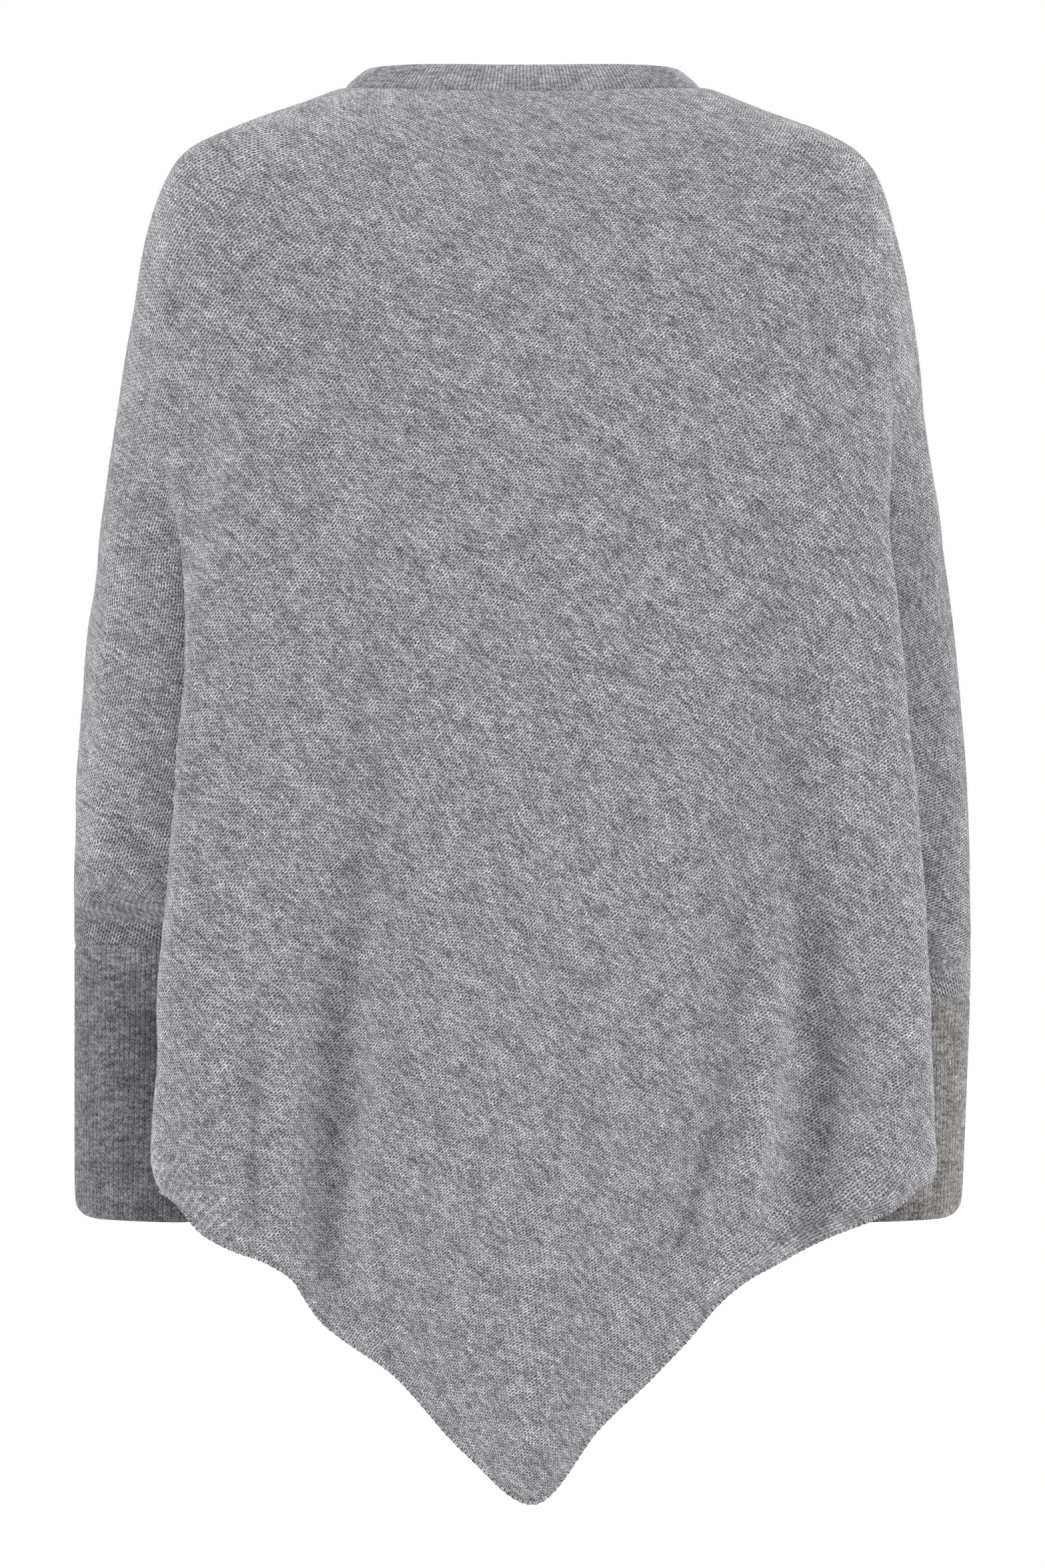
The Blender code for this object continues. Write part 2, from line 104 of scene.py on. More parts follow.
# The body folds back on itself at the fold, runs in to the groove beside the sleeve, and out over
# the sleeve. Depths are from the overarm seam.
SIDE_COLUMNS = (
    "drop", "fold_right", "fold_left", "fold_depth", "groove", "groove_depth",
    "sleeve_in", "sleeve_in_depth", "sleeve_out", "sleeve_out_depth",
)  # fmt: skip
SIDE = (
    (0.150, 0.1925, 0.1850, 0.064, 0.2090, 0.045, 0.2160, 0.031, 0.2200, 0.018),
    (0.205, 0.1980, 0.1775, 0.073, 0.2010, 0.056, 0.2130, 0.047, 0.2265, 0.030),
    (0.255, 0.2030, 0.1825, 0.080, 0.1890, 0.058, 0.2060, 0.054, 0.2300, 0.037),
    (0.305, 0.2088, 0.1865, 0.087, 0.1770, 0.055, 0.1960, 0.057, 0.2310, 0.039),
    (0.355, 0.2140, 0.1900, 0.093, 0.1700, 0.048, 0.1890, 0.054, 0.2340, 0.037),
    (0.405, 0.2185, 0.1940, 0.098, 0.1670, 0.038, 0.1860, 0.046, 0.2360, 0.031),
    (0.445, 0.2213, 0.1960, 0.100, 0.1665, 0.025, 0.1870, 0.036, 0.2390, 0.024),
    (0.471, 0.2228, 0.1972, 0.101, 0.1670, 0.012, 0.1890, 0.029, 0.2405, 0.019),
    (0.483, 0.2235, 0.1980, 0.101, 0.1680, 0.000, 0.1910, 0.026, 0.2415, 0.0175),
    (0.560, 0.2263, 0.2012, 0.100, 0.1610, 0.000, 0.1910, 0.026, 0.2415, 0.0175),
    (0.620, 0.2288, 0.2050, 0.099, 0.1600, 0.000, 0.1910, 0.026, 0.2415, 0.0175),
    (0.800, 0.2293, 0.2055, 0.099, 0.1600, 0.000, 0.1910, 0.026, 0.2415, 0.0175),
)

# The pointed hem of the back. Past the folds, x goes on round the side.
HEM_COLUMNS = ("x", "drop")
HEM = (
    (-0.300, 0.598),
    (-0.203, 0.616),
    (-0.178, 0.637),
    (-0.130, 0.660),
    (-0.110, 0.686),
    (-0.071, 0.714),
    (-0.031, 0.757),
    (0.0055, 0.7846),
    (0.0425, 0.743),
    (0.0865, 0.700),
    (0.116, 0.669),
    (0.162, 0.642),
    (0.204, 0.627),
    (0.229, 0.610),
    (0.310, 0.598),
)

# Long folds, pressed inwards in the way the body hangs.
FOLD_COLUMNS = ("face", "x_start", "drop_start", "x_middle", "x_hem", "half_width", "depth")
FOLDS = (
    (BACK, 0.145, 0.320, 0.163, 0.153, 0.026, 0.030),
    (BACK, 0.112, 0.400, 0.108, 0.087, 0.022, 0.010),
    (BACK, -0.082, 0.330, -0.104, -0.108, 0.028, 0.024),
    (BACK, -0.147, 0.520, -0.153, -0.160, 0.018, 0.008),
    (FRONT, 0.140, 0.340, 0.150, 0.145, 0.028, 0.026),
    (FRONT, 0.052, 0.430, 0.060, 0.068, 0.024, 0.012),
    (FRONT, -0.060, 0.380, -0.072, -0.078, 0.026, 0.014),
    (FRONT, -0.140, 0.330, -0.152, -0.150, 0.028, 0.024),
)

# A fold has its full depth from this drop on, and fades out between these depths from the side seam.
FOLDS_FULL_DROP, FOLD_REACH_LIMIT = 0.66, 1.2
FOLD_FADES_FROM, FOLD_FULL_FROM = 0.05, 0.08

# The front's hem is the mean of both sides and a little higher, which comes in over these drops.
FRONT_HEM_RAISE, FRONT_RAISE_FROM, FRONT_RAISE_FULL = 0.004, 0.6, 0.7

# Turns of the landmarks on a plain rounded section, and the faces from each landmark to the next.
LANDMARK_TURNS = np.array((1.0, 0.73, 0.51, 0.36, 0.29, 0.22, 0.15, 0.07, 0.0))
LANDMARK_FACES = (26, 21, 16, 16, 15, 9, 13, 11)
GROOVE_LANDMARK = 5
SHOULDER_SQUARENESS = 2.4
GROOVE_BEGINS, GROOVE_SET = 0.150, 0.205
# The nearly flat middle: landmarks at shares of the way to the fold, each this much less deep.
FLAT_SHARES, FLAT_FALLS = (0.42, 0.80), (0.001, 0.009)
TURN_BULGE, TURN_FOLD_SHARE = 0.004, 0.45
# Rows of points, and how much closer they crowd towards the neckline, the hem and the seams.
ROWS_TO_UNDERARM, NECK_CROWDING = 136, 1.25
ROWS_TO_HEM, HEM_CROWDING = 72, 1.35
ROWS_TO_CUFF, SEAM_CROWDING = 5, 1.5
# The hem has the plan of the body at this drop.
HEM_SECTION_DROP = 0.62
# Marks the cloth above the underarms and in the sleeves, where the height above the hem has no use.
FAR_ABOVE_HEM = 1.0


def column(table, columns, name):
    """The named column of a table."""
    return np.array([row[columns.index(name)] for row in table], float)


def along(table, columns, name, where):
    """The named column at places along the first, on a smooth curve that never overshoots."""
    places = column(table, columns, columns[0])
    values = column(table, columns, name)
    slopes = np.diff(values) / np.diff(places)
    before, after = slopes[:-1], slopes[1:]
    same_way = before * after > 0
    total = np.where(same_way, before + after, 1.0)
    tangents = np.concatenate(
        ([slopes[0]], np.where(same_way, 2 * before * after / total, 0.0), [slopes[-1]])
    )
    where = np.clip(where, places[0], places[-1])
    i = np.minimum(np.searchsorted(places, where, side="right") - 1, len(places) - 2)
    span = places[i + 1] - places[i]
    t = (where - places[i]) / span
    return (
        values[i] * (1 + 2 * t) * (1 - t) ** 2
        + values[i + 1] * t * t * (3 - 2 * t)
        + tangents[i] * span * t * (1 - t) ** 2
        + tangents[i + 1] * span * t * t * (t - 1)
    )


def ease(t):
    """0 below 0, 1 above 1 and smooth between."""
    t = np.clip(t, 0.0, 1.0)
    return t * t * (3 - 2 * t)


def unit(vectors):
    """The same directions, each one long."""
    return vectors / np.maximum(np.linalg.norm(vectors, axis=-1, keepdims=True), 1e-12)


def run_lengths(line):
    """How far along a row of points each point is."""
    return np.concatenate(([0], np.cumsum(np.linalg.norm(np.diff(line, axis=0), axis=1))))


def landmarks(drop, side, face):
    """Plan points (x, y) from the centre line to the overarm seam, on one side of one panel."""
    half_width = along(OUTLINE, OUTLINE_COLUMNS, "half_width", drop)
    back_depth = along(DEPTH, DEPTH_COLUMNS, "back", drop)
    depth = back_depth if face == BACK else along(DEPTH, DEPTH_COLUMNS, "front", drop)
    ridge_y = along(DEPTH, DEPTH_COLUMNS, "ridge_y", drop)
    shift = along(DEPTH, DEPTH_COLUMNS, "seam_shift", drop) * (1 if side > 0 else LEFT_SHIFT)
    seam_depth = -face * shift

    power = 2 / SHOULDER_SQUARENESS
    seam_turn = np.sign(seam_depth) * np.arcsin((abs(seam_depth) / depth) ** (1 / power))
    turns = seam_turn + LANDMARK_TURNS * (np.pi / 2 - seam_turn)
    rounded = np.column_stack(
        (
            half_width * np.abs(np.cos(turns)) ** power,
            depth * np.sign(turns) * np.abs(np.sin(turns)) ** power,
        )
    )

    at = {name: along(SIDE, SIDE_COLUMNS, name, drop) for name in SIDE_COLUMNS[1:]}
    fold = at["fold_right"] if side > 0 else at["fold_left"]
    if face == FRONT:
        fold = (at["fold_right"] + at["fold_left"]) / 2
    fold_depth = at["fold_depth"] * depth / back_depth
    turn_depth = TURN_FOLD_SHARE * fold_depth + (1 - TURN_FOLD_SHARE) * at["groove_depth"]
    sleeve_radius = max(at["sleeve_in_depth"], CUFF_HALF_DEPTH)
    seam_inset = CUFF_HALF_WIDTH * (1 - np.sqrt(1 - (seam_depth / sleeve_radius) ** 2))
    turned = np.array(
        (
            (0.0, depth),
            (FLAT_SHARES[0] * fold, depth - FLAT_FALLS[0]),
            (FLAT_SHARES[1] * fold, depth - FLAT_FALLS[1]),
            (fold, fold_depth),
            ((fold + at["groove"]) / 2 + TURN_BULGE, turn_depth),
            (at["groove"], at["groove_depth"]),
            (at["sleeve_in"], at["sleeve_in_depth"]),
            (at["sleeve_out"], at["sleeve_out_depth"]),
            (half_width - seam_inset, seam_depth),
        )
    )
    share = ease((drop - GROOVE_BEGINS) / (GROOVE_SET - GROOVE_BEGINS))
    points = rounded * (1 - share) + turned * share
    return points * (side, face) + (0.0, ridge_y)


def landmark_steps():
    """For each gap between landmarks, where its points lie, closer together towards a seam."""
    outwards = [np.arange(1, faces + 1) / faces for faces in LANDMARK_FACES]
    for gap in (GROOVE_LANDMARK - 1, len(outwards) - 1):
        outwards[gap] = 1 - (1 - outwards[gap]) ** SEAM_CROWDING
    inwards = [1 - np.concatenate(([0], steps))[:-1][::-1] for steps in outwards]
    return inwards[::-1], outwards


def curve(points, steps):
    """Points on a smooth plan curve. The first and last landmarks only steer its ends."""
    knots = np.concatenate(
        ([0], np.cumsum(np.linalg.norm(np.diff(points, axis=0), axis=1) ** 0.5 + 1e-9))
    )
    found = [points[1:2]]
    for i, parts in enumerate(steps, start=1):
        k, p = knots[i - 1 : i + 3], points[i - 1 : i + 3]
        t = (k[1] + (k[2] - k[1]) * parts)[:, None]
        a = [
            p[j] * (k[j + 1] - t) / (k[j + 1] - k[j]) + p[j + 1] * (t - k[j]) / (k[j + 1] - k[j])
            for j in range(3)
        ]
        b = [
            a[j] * (k[j + 2] - t) / (k[j + 2] - k[j]) + a[j + 1] * (t - k[j]) / (k[j + 2] - k[j])
            for j in range(2)
        ]
        found.append(b[0] * (k[2] - t) / (k[2] - k[1]) + b[1] * (t - k[1]) / (k[2] - k[1]))
    return np.vstack(found)


def lean_of_garment(x, drop):
    """How much lower a point is for the garment hanging lower on its right."""
    return RIGHT_SIDE_LOWER * np.clip(x / LEANS_FULLY_AT, -1, 1) * (drop / UNDERARM_DROP) ** 2


def whole_section(drop, face):
    """Plan points of one panel at one drop, from the left overarm seam to the right one."""
    left, right = landmarks(drop, -1, face), landmarks(drop, 1, face)
    past_left, past_right = landmarks(drop, -1, -face)[-2], landmarks(drop, 1, -face)[-2]
    steering = np.vstack((past_left, left[::-1], right[1:], past_right))
    inwards, outwards = landmark_steps()
    return curve(steering, inwards + outwards)


def body_section(drop, face):
    """Plan points of one panel's body below the underarm points, from side seam to side seam."""
    last = GROOVE_LANDMARK + 1
    left, right = landmarks(drop, -1, face)[:last], landmarks(drop, 1, face)[:last]
    other_left, other_right = landmarks(drop, -1, -face)[last - 2], landmarks(drop, 1, -face)[last - 2]
    steering = np.vstack((other_left, left[::-1], right[1:], other_right))
    inwards, outwards = landmark_steps()
    plan = curve(steering, inwards[-GROOVE_LANDMARK:] + outwards[:GROOVE_LANDMARK])
    plan[[0, -1], 1] = SEAM_Y
    return plan


def cuff_ring(angles, side, half_width=CUFF_HALF_WIDTH):
    """Plan points round a cuff. Angle 0 is the outermost point, and a quarter turn is the front."""
    centre = CUFF_CENTRE + CUFF_HALF_WIDTH - half_width
    x = side * (centre + half_width * np.cos(angles))
    return np.column_stack((x, SEAM_Y + CUFF_HALF_DEPTH * np.sin(angles)))


def folded(plan, z, face):
    """The plan points with the panel's long folds pressed in."""
    x = plan[:, 0]
    y = plan[:, 1].copy()
    for row in FOLDS:
        fold = dict(zip(FOLD_COLUMNS, row))
        if fold["face"] != face:
            continue
        length = FOLDS_FULL_DROP - fold["drop_start"]
        reach = np.clip((-z - fold["drop_start"]) / length, 0, FOLD_REACH_LIMIT)
        middle = fold["x_start"] * (1 - reach) * (1 - 2 * reach) + fold["x_hem"] * reach * (2 * reach - 1)
        middle += 4 * fold["x_middle"] * reach * (1 - reach)
        press = np.exp(-(((x - middle) / fold["half_width"]) ** 2)) * ease(reach)
        from_side = np.abs(y - SEAM_Y)
        inside = ease((from_side - FOLD_FADES_FROM) / (FOLD_FULL_FROM - FOLD_FADES_FROM))
        y -= face * fold["depth"] * press * inside
    return np.column_stack((x, y))


def hem_drops(plan, face):
    """The drop of the hem at each plan point. Past a fold, it runs up to the side seam."""
    x = plan[:, 0]
    right_fold, left_fold = int(np.argmax(x)), int(np.argmin(x))
    steps = run_lengths(plan)
    places = x.copy()
    places[right_fold:] = x[right_fold] + steps[right_fold:] - steps[right_fold]
    places[: left_fold + 1] = x[left_fold] - (steps[left_fold] - steps[: left_fold + 1])
    drops = along(HEM, HEM_COLUMNS, "drop", places)
    if face == FRONT:
        mirrored = along(HEM, HEM_COLUMNS, "drop", -places)
        share = ease((drops - FRONT_RAISE_FROM) / (FRONT_RAISE_FULL - FRONT_RAISE_FROM))
        drops = (drops + mirrored) / 2 - FRONT_HEM_RAISE * share
    return drops


def panel_form(face):
    """One panel's middle surface, as points in rows, with what lies where on it."""
    points, across, above_hem, quads = [], [], [], []

    def add_row(plan, z, across_row):
        first = len(points)
        points.extend(np.column_stack((plan, z)))
        across.extend(across_row)
        above_hem.extend(np.full(len(plan), FAR_ABOVE_HEM))
        return np.arange(first, first + len(plan))

    def join(upper, lower):
        for i in range(len(upper) - 1):
            quad = (upper[i], upper[i + 1], lower[i + 1], lower[i])
            quads.append(quad if face == FRONT else quad[::-1])

    def from_centre(plan, z):
        """How far along the cloth each point of a row is from the centre line, to the right."""
        lengths = run_lengths(np.column_stack((plan, z)))
        return (lengths - lengths[len(plan) // 2]) * -face

    groove = sum(LANDMARK_FACES[GROOVE_LANDMARK:])
    upper = None
    for drop in UNDERARM_DROP * np.linspace(0, 1, ROWS_TO_UNDERARM) ** NECK_CROWDING:
        plan = whole_section(drop, face)
        half_width = along(OUTLINE, OUTLINE_COLUMNS, "half_width", drop)
        dip = np.clip(1 - (plan[:, 0] / half_width) ** 2, 0, 1) * max(0.0, 1 - drop / NECK_REACH) ** 2
        z = -drop - lean_of_garment(plan[:, 0], drop) - dip * NECK_DIP[face]
        if drop == UNDERARM_DROP:
            plan[[groove, -1 - groove], 1] = SEAM_Y
        row = add_row(folded(plan, z, face), z, from_centre(plan, z))
        if upper is None:
            neckline = row
        else:
            join(upper, row)
        upper = row
    underarm_row, underarm_z = row, z

    inner = slice(groove, len(row) - groove)
    upper = underarm_row[inner]
    body_rows = [upper]
    hem_z = -hem_drops(body_section(HEM_SECTION_DROP, face), face)
    for part in 1 - (1 - np.arange(1, ROWS_TO_HEM + 1) / ROWS_TO_HEM) ** HEM_CROWDING:
        z = underarm_z[inner] * (1 - part) + hem_z * part
        plan = body_section(UNDERARM_DROP + (HEM_SECTION_DROP - UNDERARM_DROP) * part, face)
        lower = add_row(folded(plan, z, face), z, from_centre(plan, z))
        body_rows.append(lower)
        join(upper, lower)
        upper = lower
    hem = upper

    for side, upper in ((-1, underarm_row[: groove + 1]), (1, underarm_row[-1 - groove :])):
        start = np.array([points[i] for i in upper])
        parts = run_lengths(start)
        turns = np.pi * (parts / parts[-1] if side < 0 else 1 - parts / parts[-1])
        plan = cuff_ring(face * turns, side)
        plan[[0, -1], 1] = SEAM_Y
        z = -CUFF_TOP_DROP - lean_of_garment(plan[:, 0], UNDERARM_DROP)
        end = np.column_stack((plan, z))
        across_row = [across[i] for i in upper]
        for part in np.arange(1, ROWS_TO_CUFF + 1) / ROWS_TO_CUFF:
            mid = start * (1 - part) + end * part
            lower = add_row(mid[:, :2], mid[:, 2], across_row)
            join(upper, lower)
            upper = lower
    points = np.array(points)
    above_hem = np.array(above_hem)
    body_rows = np.array(body_rows)
    steps = np.linalg.norm(np.diff(points[body_rows], axis=0), axis=2)
    above_hem[body_rows[:-1]] = np.cumsum(steps[::-1], axis=0)[::-1]
    above_hem[hem] = 0.0
    return {
        "points": points,
        "quads": np.array(quads),
        "across": np.array(across),
        "above_hem": above_hem,
        "neckline": neckline,
        "hem": hem,
    }


# How the knit lies. Wales run up to the right and courses down to the right, as seen from outside.
# Leans are in degrees, at these distances across from the centre line and at these drops.
WALE_PITCH, COURSE_PITCH = 0.00295, 0.0021
LAY_ACROSS = (-0.40, -0.30, -0.21, -0.14, -0.07, 0.00, 0.07, 0.14, 0.20, 0.28, 0.40)
WALE_LEANS = {
    0.02: (84, 82, 70, 40, 36, 43, 60, 58, 46, 36, 30),
    0.08: (84, 82, 75, 53, 41, 42, 48, 48, 39, 32, 28),
    0.15: (80, 78, 74, 64, 51, 46, 46, 48, 40, 30, 25),
    0.25: (76, 74, 70, 57, 54, 51, 51, 48, 38, 28, 23),
    0.36: (74, 70, 63, 55, 55, 52, 53, 47, 37, 27, 22),
    0.46: (72, 68, 56, 53, 52, 51, 52, 49, 40, 30, 21),
    0.55: (66, 56, 50, 51, 44, 45, 42, 39, 38, 34, 24),
    0.62: (60, 52, 48, 50, 40, 37, 32, 26, 29, 31, 28),
    0.70: (60, 52, 48, 48, 40, 34, 30, 26, 28, 30, 28),
    0.78: (60, 52, 48, 46, 42, 35, 31, 27, 28, 30, 28),
}
COURSE_LEANS = {
    0.02: (20, 22, 28, 37, 38, 38, 27, 28, 36, 44, 50),
    0.08: (20, 22, 25, 34, 36, 37, 32, 39, 43, 50, 54),
    0.15: (22, 23, 25, 38, 39, 35, 39, 56, 60, 62, 60),
    0.25: (24, 26, 27, 41, 40, 42, 47, 58, 60, 64, 60),
    0.36: (26, 29, 33, 40, 44, 47, 48, 57, 58, 62, 57),
    0.46: (22, 25, 33, 38, 46, 46, 46, 52, 57, 56, 54),
    0.55: (24, 26, 29, 34, 44, 44, 49, 49, 53, 52, 50),
    0.62: (22, 23, 25, 34, 42, 42, 49, 50, 50, 48, 48),
    0.70: (22, 23, 26, 34, 41, 44, 42, 48, 49, 48, 48),
    0.78: (22, 23, 26, 34, 42, 42, 41, 46, 48, 48, 48),
}
# The stitch count is a smooth sum of powers up to this one, fitted to every fifth edge.
LAY_POWERS, LAY_REACH, LAY_EDGE_STEP = 7, 0.4, 5


def on_lay_grid(leans, across, drop):
    """The lean at each point of the cloth, in radians, straight between the places in the table."""
    drops = np.array(sorted(leans))
    values = np.radians([leans[d] for d in drops])
    i = np.clip(np.searchsorted(drops, drop) - 1, 0, len(drops) - 2)
    j = np.clip(np.searchsorted(LAY_ACROSS, across) - 1, 0, len(LAY_ACROSS) - 2)
    grid = np.array(LAY_ACROSS)
    down = np.clip((drop - drops[i]) / (drops[i + 1] - drops[i]), 0, 1)
    over = np.clip((across - grid[j]) / (grid[j + 1] - grid[j]), 0, 1)
    upper = values[i, j] * (1 - over) + values[i, j + 1] * over
    lower = values[i + 1, j] * (1 - over) + values[i + 1, j + 1] * over
    return upper * (1 - down) + lower * down


def edges_of(quads):
    """Every edge once, as the numbers of its two points."""
    pairs = np.vstack([quads[:, [k, (k + 1) % 4]] for k in range(4)])
    return np.unique(np.sort(pairs, axis=1), axis=0)


def surface_normals(points, quads):
    """The direction out of the cloth at each point, averaged over the quads round it."""
    corner = points[quads]
    facing = np.cross(corner[:, 2] - corner[:, 0], corner[:, 3] - corner[:, 1])
    normals = np.zeros_like(points)
    for k in range(4):
        np.add.at(normals, quads[:, k], facing)
    return unit(normals)


def count_stitches(points, quads, across, drop):
    """Each point's place in the knit, in wales and courses, as near as the leans above allow."""
    edges = edges_of(quads)[::LAY_EDGE_STEP]
    a, b = edges.T
    normal = unit(surface_normals(points, quads)[edges].mean(1))
    right = unit(np.cross((0.0, 0.0, 1.0), normal))
    up = np.cross(normal, right)
    mid_across, mid_drop = across[edges].mean(1), drop[edges].mean(1)
    wale = on_lay_grid(WALE_LEANS, mid_across, mid_drop)[:, None]
    course = on_lay_grid(COURSE_LEANS, mid_across, mid_drop)[:, None]
    run = points[b] - points[a]
    wales = np.sum(run * (right * np.sin(wale) - up * np.cos(wale)), axis=1) / WALE_PITCH
    courses = np.sum(run * (right * np.sin(course) + up * np.cos(course)), axis=1) / COURSE_PITCH

    def powers(across, drop):
        s, t = across / LAY_REACH, (drop - LAY_REACH) / LAY_REACH
        return np.column_stack(
            [s**i * t**j for i in range(LAY_POWERS + 1) for j in range(LAY_POWERS + 1 - i) if i + j]
        )

    everywhere = powers(across, drop)
    change = everywhere[b] - everywhere[a]
    fits = np.linalg.lstsq(change, np.column_stack((wales, courses)), rcond=None)[0]
    return everywhere @ fits


# Softer creases, as (from, middle, to) places on the cloth, each an (across, drop) pair, with the
# half width and how far the cloth is pushed in. A ridge is pushed out, so its depth is below zero.
CREASE_COLUMNS = ("face", "start", "middle", "end", "half_width", "depth")
CREASES = (
    # The drag from the left shoulder towards the middle of the back.
    (BACK, (-0.135, 0.105), (-0.105, 0.160), (-0.049, 0.212), 0.022, 0.0050),
    (BACK, (-0.090, 0.070), (-0.055, 0.120), (-0.015, 0.175), 0.020, -0.0016),
    (BACK, (0.128, 0.050), (0.150, 0.043), (0.172, 0.040), 0.006, 0.0016),
    # The deep folds are sharpest along their middles and run up the back as soft lines.
    (BACK, (0.147, 0.230), (0.153, 0.450), (0.196, 0.650), 0.019, 0.0112),
    (BACK, (0.116, 0.360), (0.117, 0.530), (0.103, 0.665), 0.013, 0.0092),
    (BACK, (0.133, 0.400), (0.139, 0.540), (0.160, 0.645), 0.009, -0.0040),
    (BACK, (-0.082, 0.290), (-0.096, 0.490), (-0.138, 0.668), 0.018, 0.0108),
    (BACK, (-0.144, 0.470), (-0.172, 0.580), (-0.208, 0.640), 0.009, 0.0075),
    (BACK, (-0.130, 0.440), (-0.150, 0.550), (-0.183, 0.645), 0.012, -0.0030),
    (BACK, (0.190, 0.300), (0.205, 0.440), (0.230, 0.600), 0.013, -0.0055),
    # The body's left side sinks a little into the groove beside the sleeve.
    (BACK, (-0.180, 0.200), (-0.202, 0.350), (-0.205, 0.520), 0.011, 0.0040),
    (BACK, (0.020, 0.480), (0.030, 0.560), (0.022, 0.640), 0.024, 0.0016),
    (BACK, (-0.030, 0.420), (-0.040, 0.520), (-0.052, 0.640), 0.022, -0.0014),
    # A sharp curved crease above the lower right hem, where the cloth was once folded.
    (BACK, (0.107, 0.628), (0.092, 0.648), (0.083, 0.688), 0.0030, -0.0014),
    (BACK, (0.113, 0.632), (0.099, 0.652), (0.090, 0.690), 0.0035, 0.0012),
    # The sleeve buckles above each cuff.
    (BACK, (-0.385, 0.440), (-0.350, 0.462), (-0.300, 0.470), 0.008, 0.0020),
    (BACK, (0.360, 0.420), (0.400, 0.450), (0.430, 0.455), 0.009, 0.0018),
    (BACK, (-0.350, 0.330), (-0.335, 0.380), (-0.330, 0.430), 0.010, 0.0014),
    # The same kinds of crease on the front.
    (FRONT, (-0.140, 0.120), (-0.100, 0.165), (-0.050, 0.225), 0.022, 0.0045),
    (FRONT, (0.135, 0.130), (0.105, 0.180), (0.060, 0.240), 0.020, 0.0030),
    (FRONT, (-0.060, 0.330), (-0.074, 0.470), (-0.082, 0.650), 0.011, 0.0060),
    (FRONT, (0.052, 0.370), (0.060, 0.520), (0.072, 0.660), 0.012, 0.0065),
    (FRONT, (-0.142, 0.290), (-0.158, 0.450), (-0.185, 0.620), 0.011, 0.0070),
    (FRONT, (0.142, 0.280), (0.155, 0.440), (0.190, 0.620), 0.012, 0.0070),
    (FRONT, (0.100, 0.400), (0.110, 0.520), (0.125, 0.640), 0.012, -0.0030),
    (FRONT, (-0.105, 0.400), (-0.112, 0.520), (-0.130, 0.640), 0.012, -0.0028),
    (FRONT, (-0.010, 0.470), (-0.012, 0.560), (0.000, 0.650), 0.024, 0.0016),
    (FRONT, (0.340, 0.430), (0.370, 0.455), (0.400, 0.460), 0.008, 0.0018),
    (FRONT, (-0.360, 0.430), (-0.380, 0.452), (-0.400, 0.455), 0.008, 0.0018),
)
CREASE_POINTS, CREASE_FADE = 25, 0.6
SETTLING_ROUNDS = 14
UNEVEN_WAVES, UNEVEN_HEIGHT, UNEVEN_LENGTHS = 40, 0.00035, (0.040, 0.110)


def settle(points, quads, held, rounds):
    """Eases out kinks, as cloth does under its own weight, with the held points staying put."""
    a, b = edges_of(quads).T
    neighbours = np.bincount(np.concatenate((a, b)), minlength=len(points))[:, None]
    free = np.ones((len(points), 1))
    free[held] = 0.0
    for _ in range(rounds):
        total = np.zeros_like(points)
        np.add.at(total, a, points[b])
        np.add.at(total, b, points[a])
        points = points + 0.5 * free * (total / neighbours - points)
    return points


def creased(face, across, drop):
    """How far each point of a panel is pushed in by the softer creases."""
    pushed = np.zeros(len(across))
    place = np.column_stack((across, drop))
    for row in CREASES:
        crease = dict(zip(CREASE_COLUMNS, row))
        if crease["face"] != face:
            continue
        start, middle, end = (np.array(crease[name]) for name in ("start", "middle", "end"))
        bend = 2 * middle - 0.5 * (start + end)
        t = np.linspace(0, 1, CREASE_POINTS)[:, None]
        line = start * (1 - t) ** 2 + 2 * bend * t * (1 - t) + end * t * t
        nearest = np.full(len(across), np.inf)
        strength = np.zeros(len(across))
        for centre, part in zip(line, t[:, 0]):
            distance = np.linalg.norm(place - centre, axis=1)
            closer = distance < nearest
            nearest = np.where(closer, distance, nearest)
            strength = np.where(closer, np.sin(np.pi * part) ** CREASE_FADE, strength)
        pushed += crease["depth"] * strength * np.exp(-((nearest / crease["half_width"]) ** 2))
    return pushed


def uneven(across, drop, seed):
    """A faint unevenness of soft cloth: long waves in every direction."""
    rng = np.random.default_rng(seed)
    height = np.zeros(len(across))
    for _ in range(UNEVEN_WAVES):
        angle, phase = rng.uniform(0, np.pi), rng.uniform(0, 2 * np.pi)
        turns = 2 * np.pi / rng.uniform(*UNEVEN_LENGTHS)
        height += np.sin(turns * (across * np.cos(angle) + drop * np.sin(angle)) + phase)
    return height * UNEVEN_HEIGHT / np.sqrt(UNEVEN_WAVES / 2)


def edges_used_once(quads):
    """The rim of an open surface, each edge in the direction its quad runs."""
    pairs = np.vstack([quads[:, [k, (k + 1) % 4]] for k in range(4)])
    _, index, count = np.unique(np.sort(pairs, axis=1), axis=0, return_index=True, return_counts=True)
    return pairs[index[count == 1]]


def new_piece(name, points, faces, materials, attributes=None):
    """A smooth mesh with its materials and its attributes, a vector for each point by name."""
    mesh = bpy.data.meshes.new(name)
    mesh.from_pydata(points.tolist(), [], faces)
    mesh.shade_smooth()
    for material in materials:
        mesh.materials.append(material)
    for label, values in (attributes or {}).items():
        kept = mesh.attributes.new(label, "FLOAT_VECTOR", "POINT")
        kept.data.foreach_set("vector", values.astype(np.float32).ravel())
    piece = bpy.data.objects.new(name, mesh)
    bpy.context.scene.collection.objects.link(piece)
    return piece


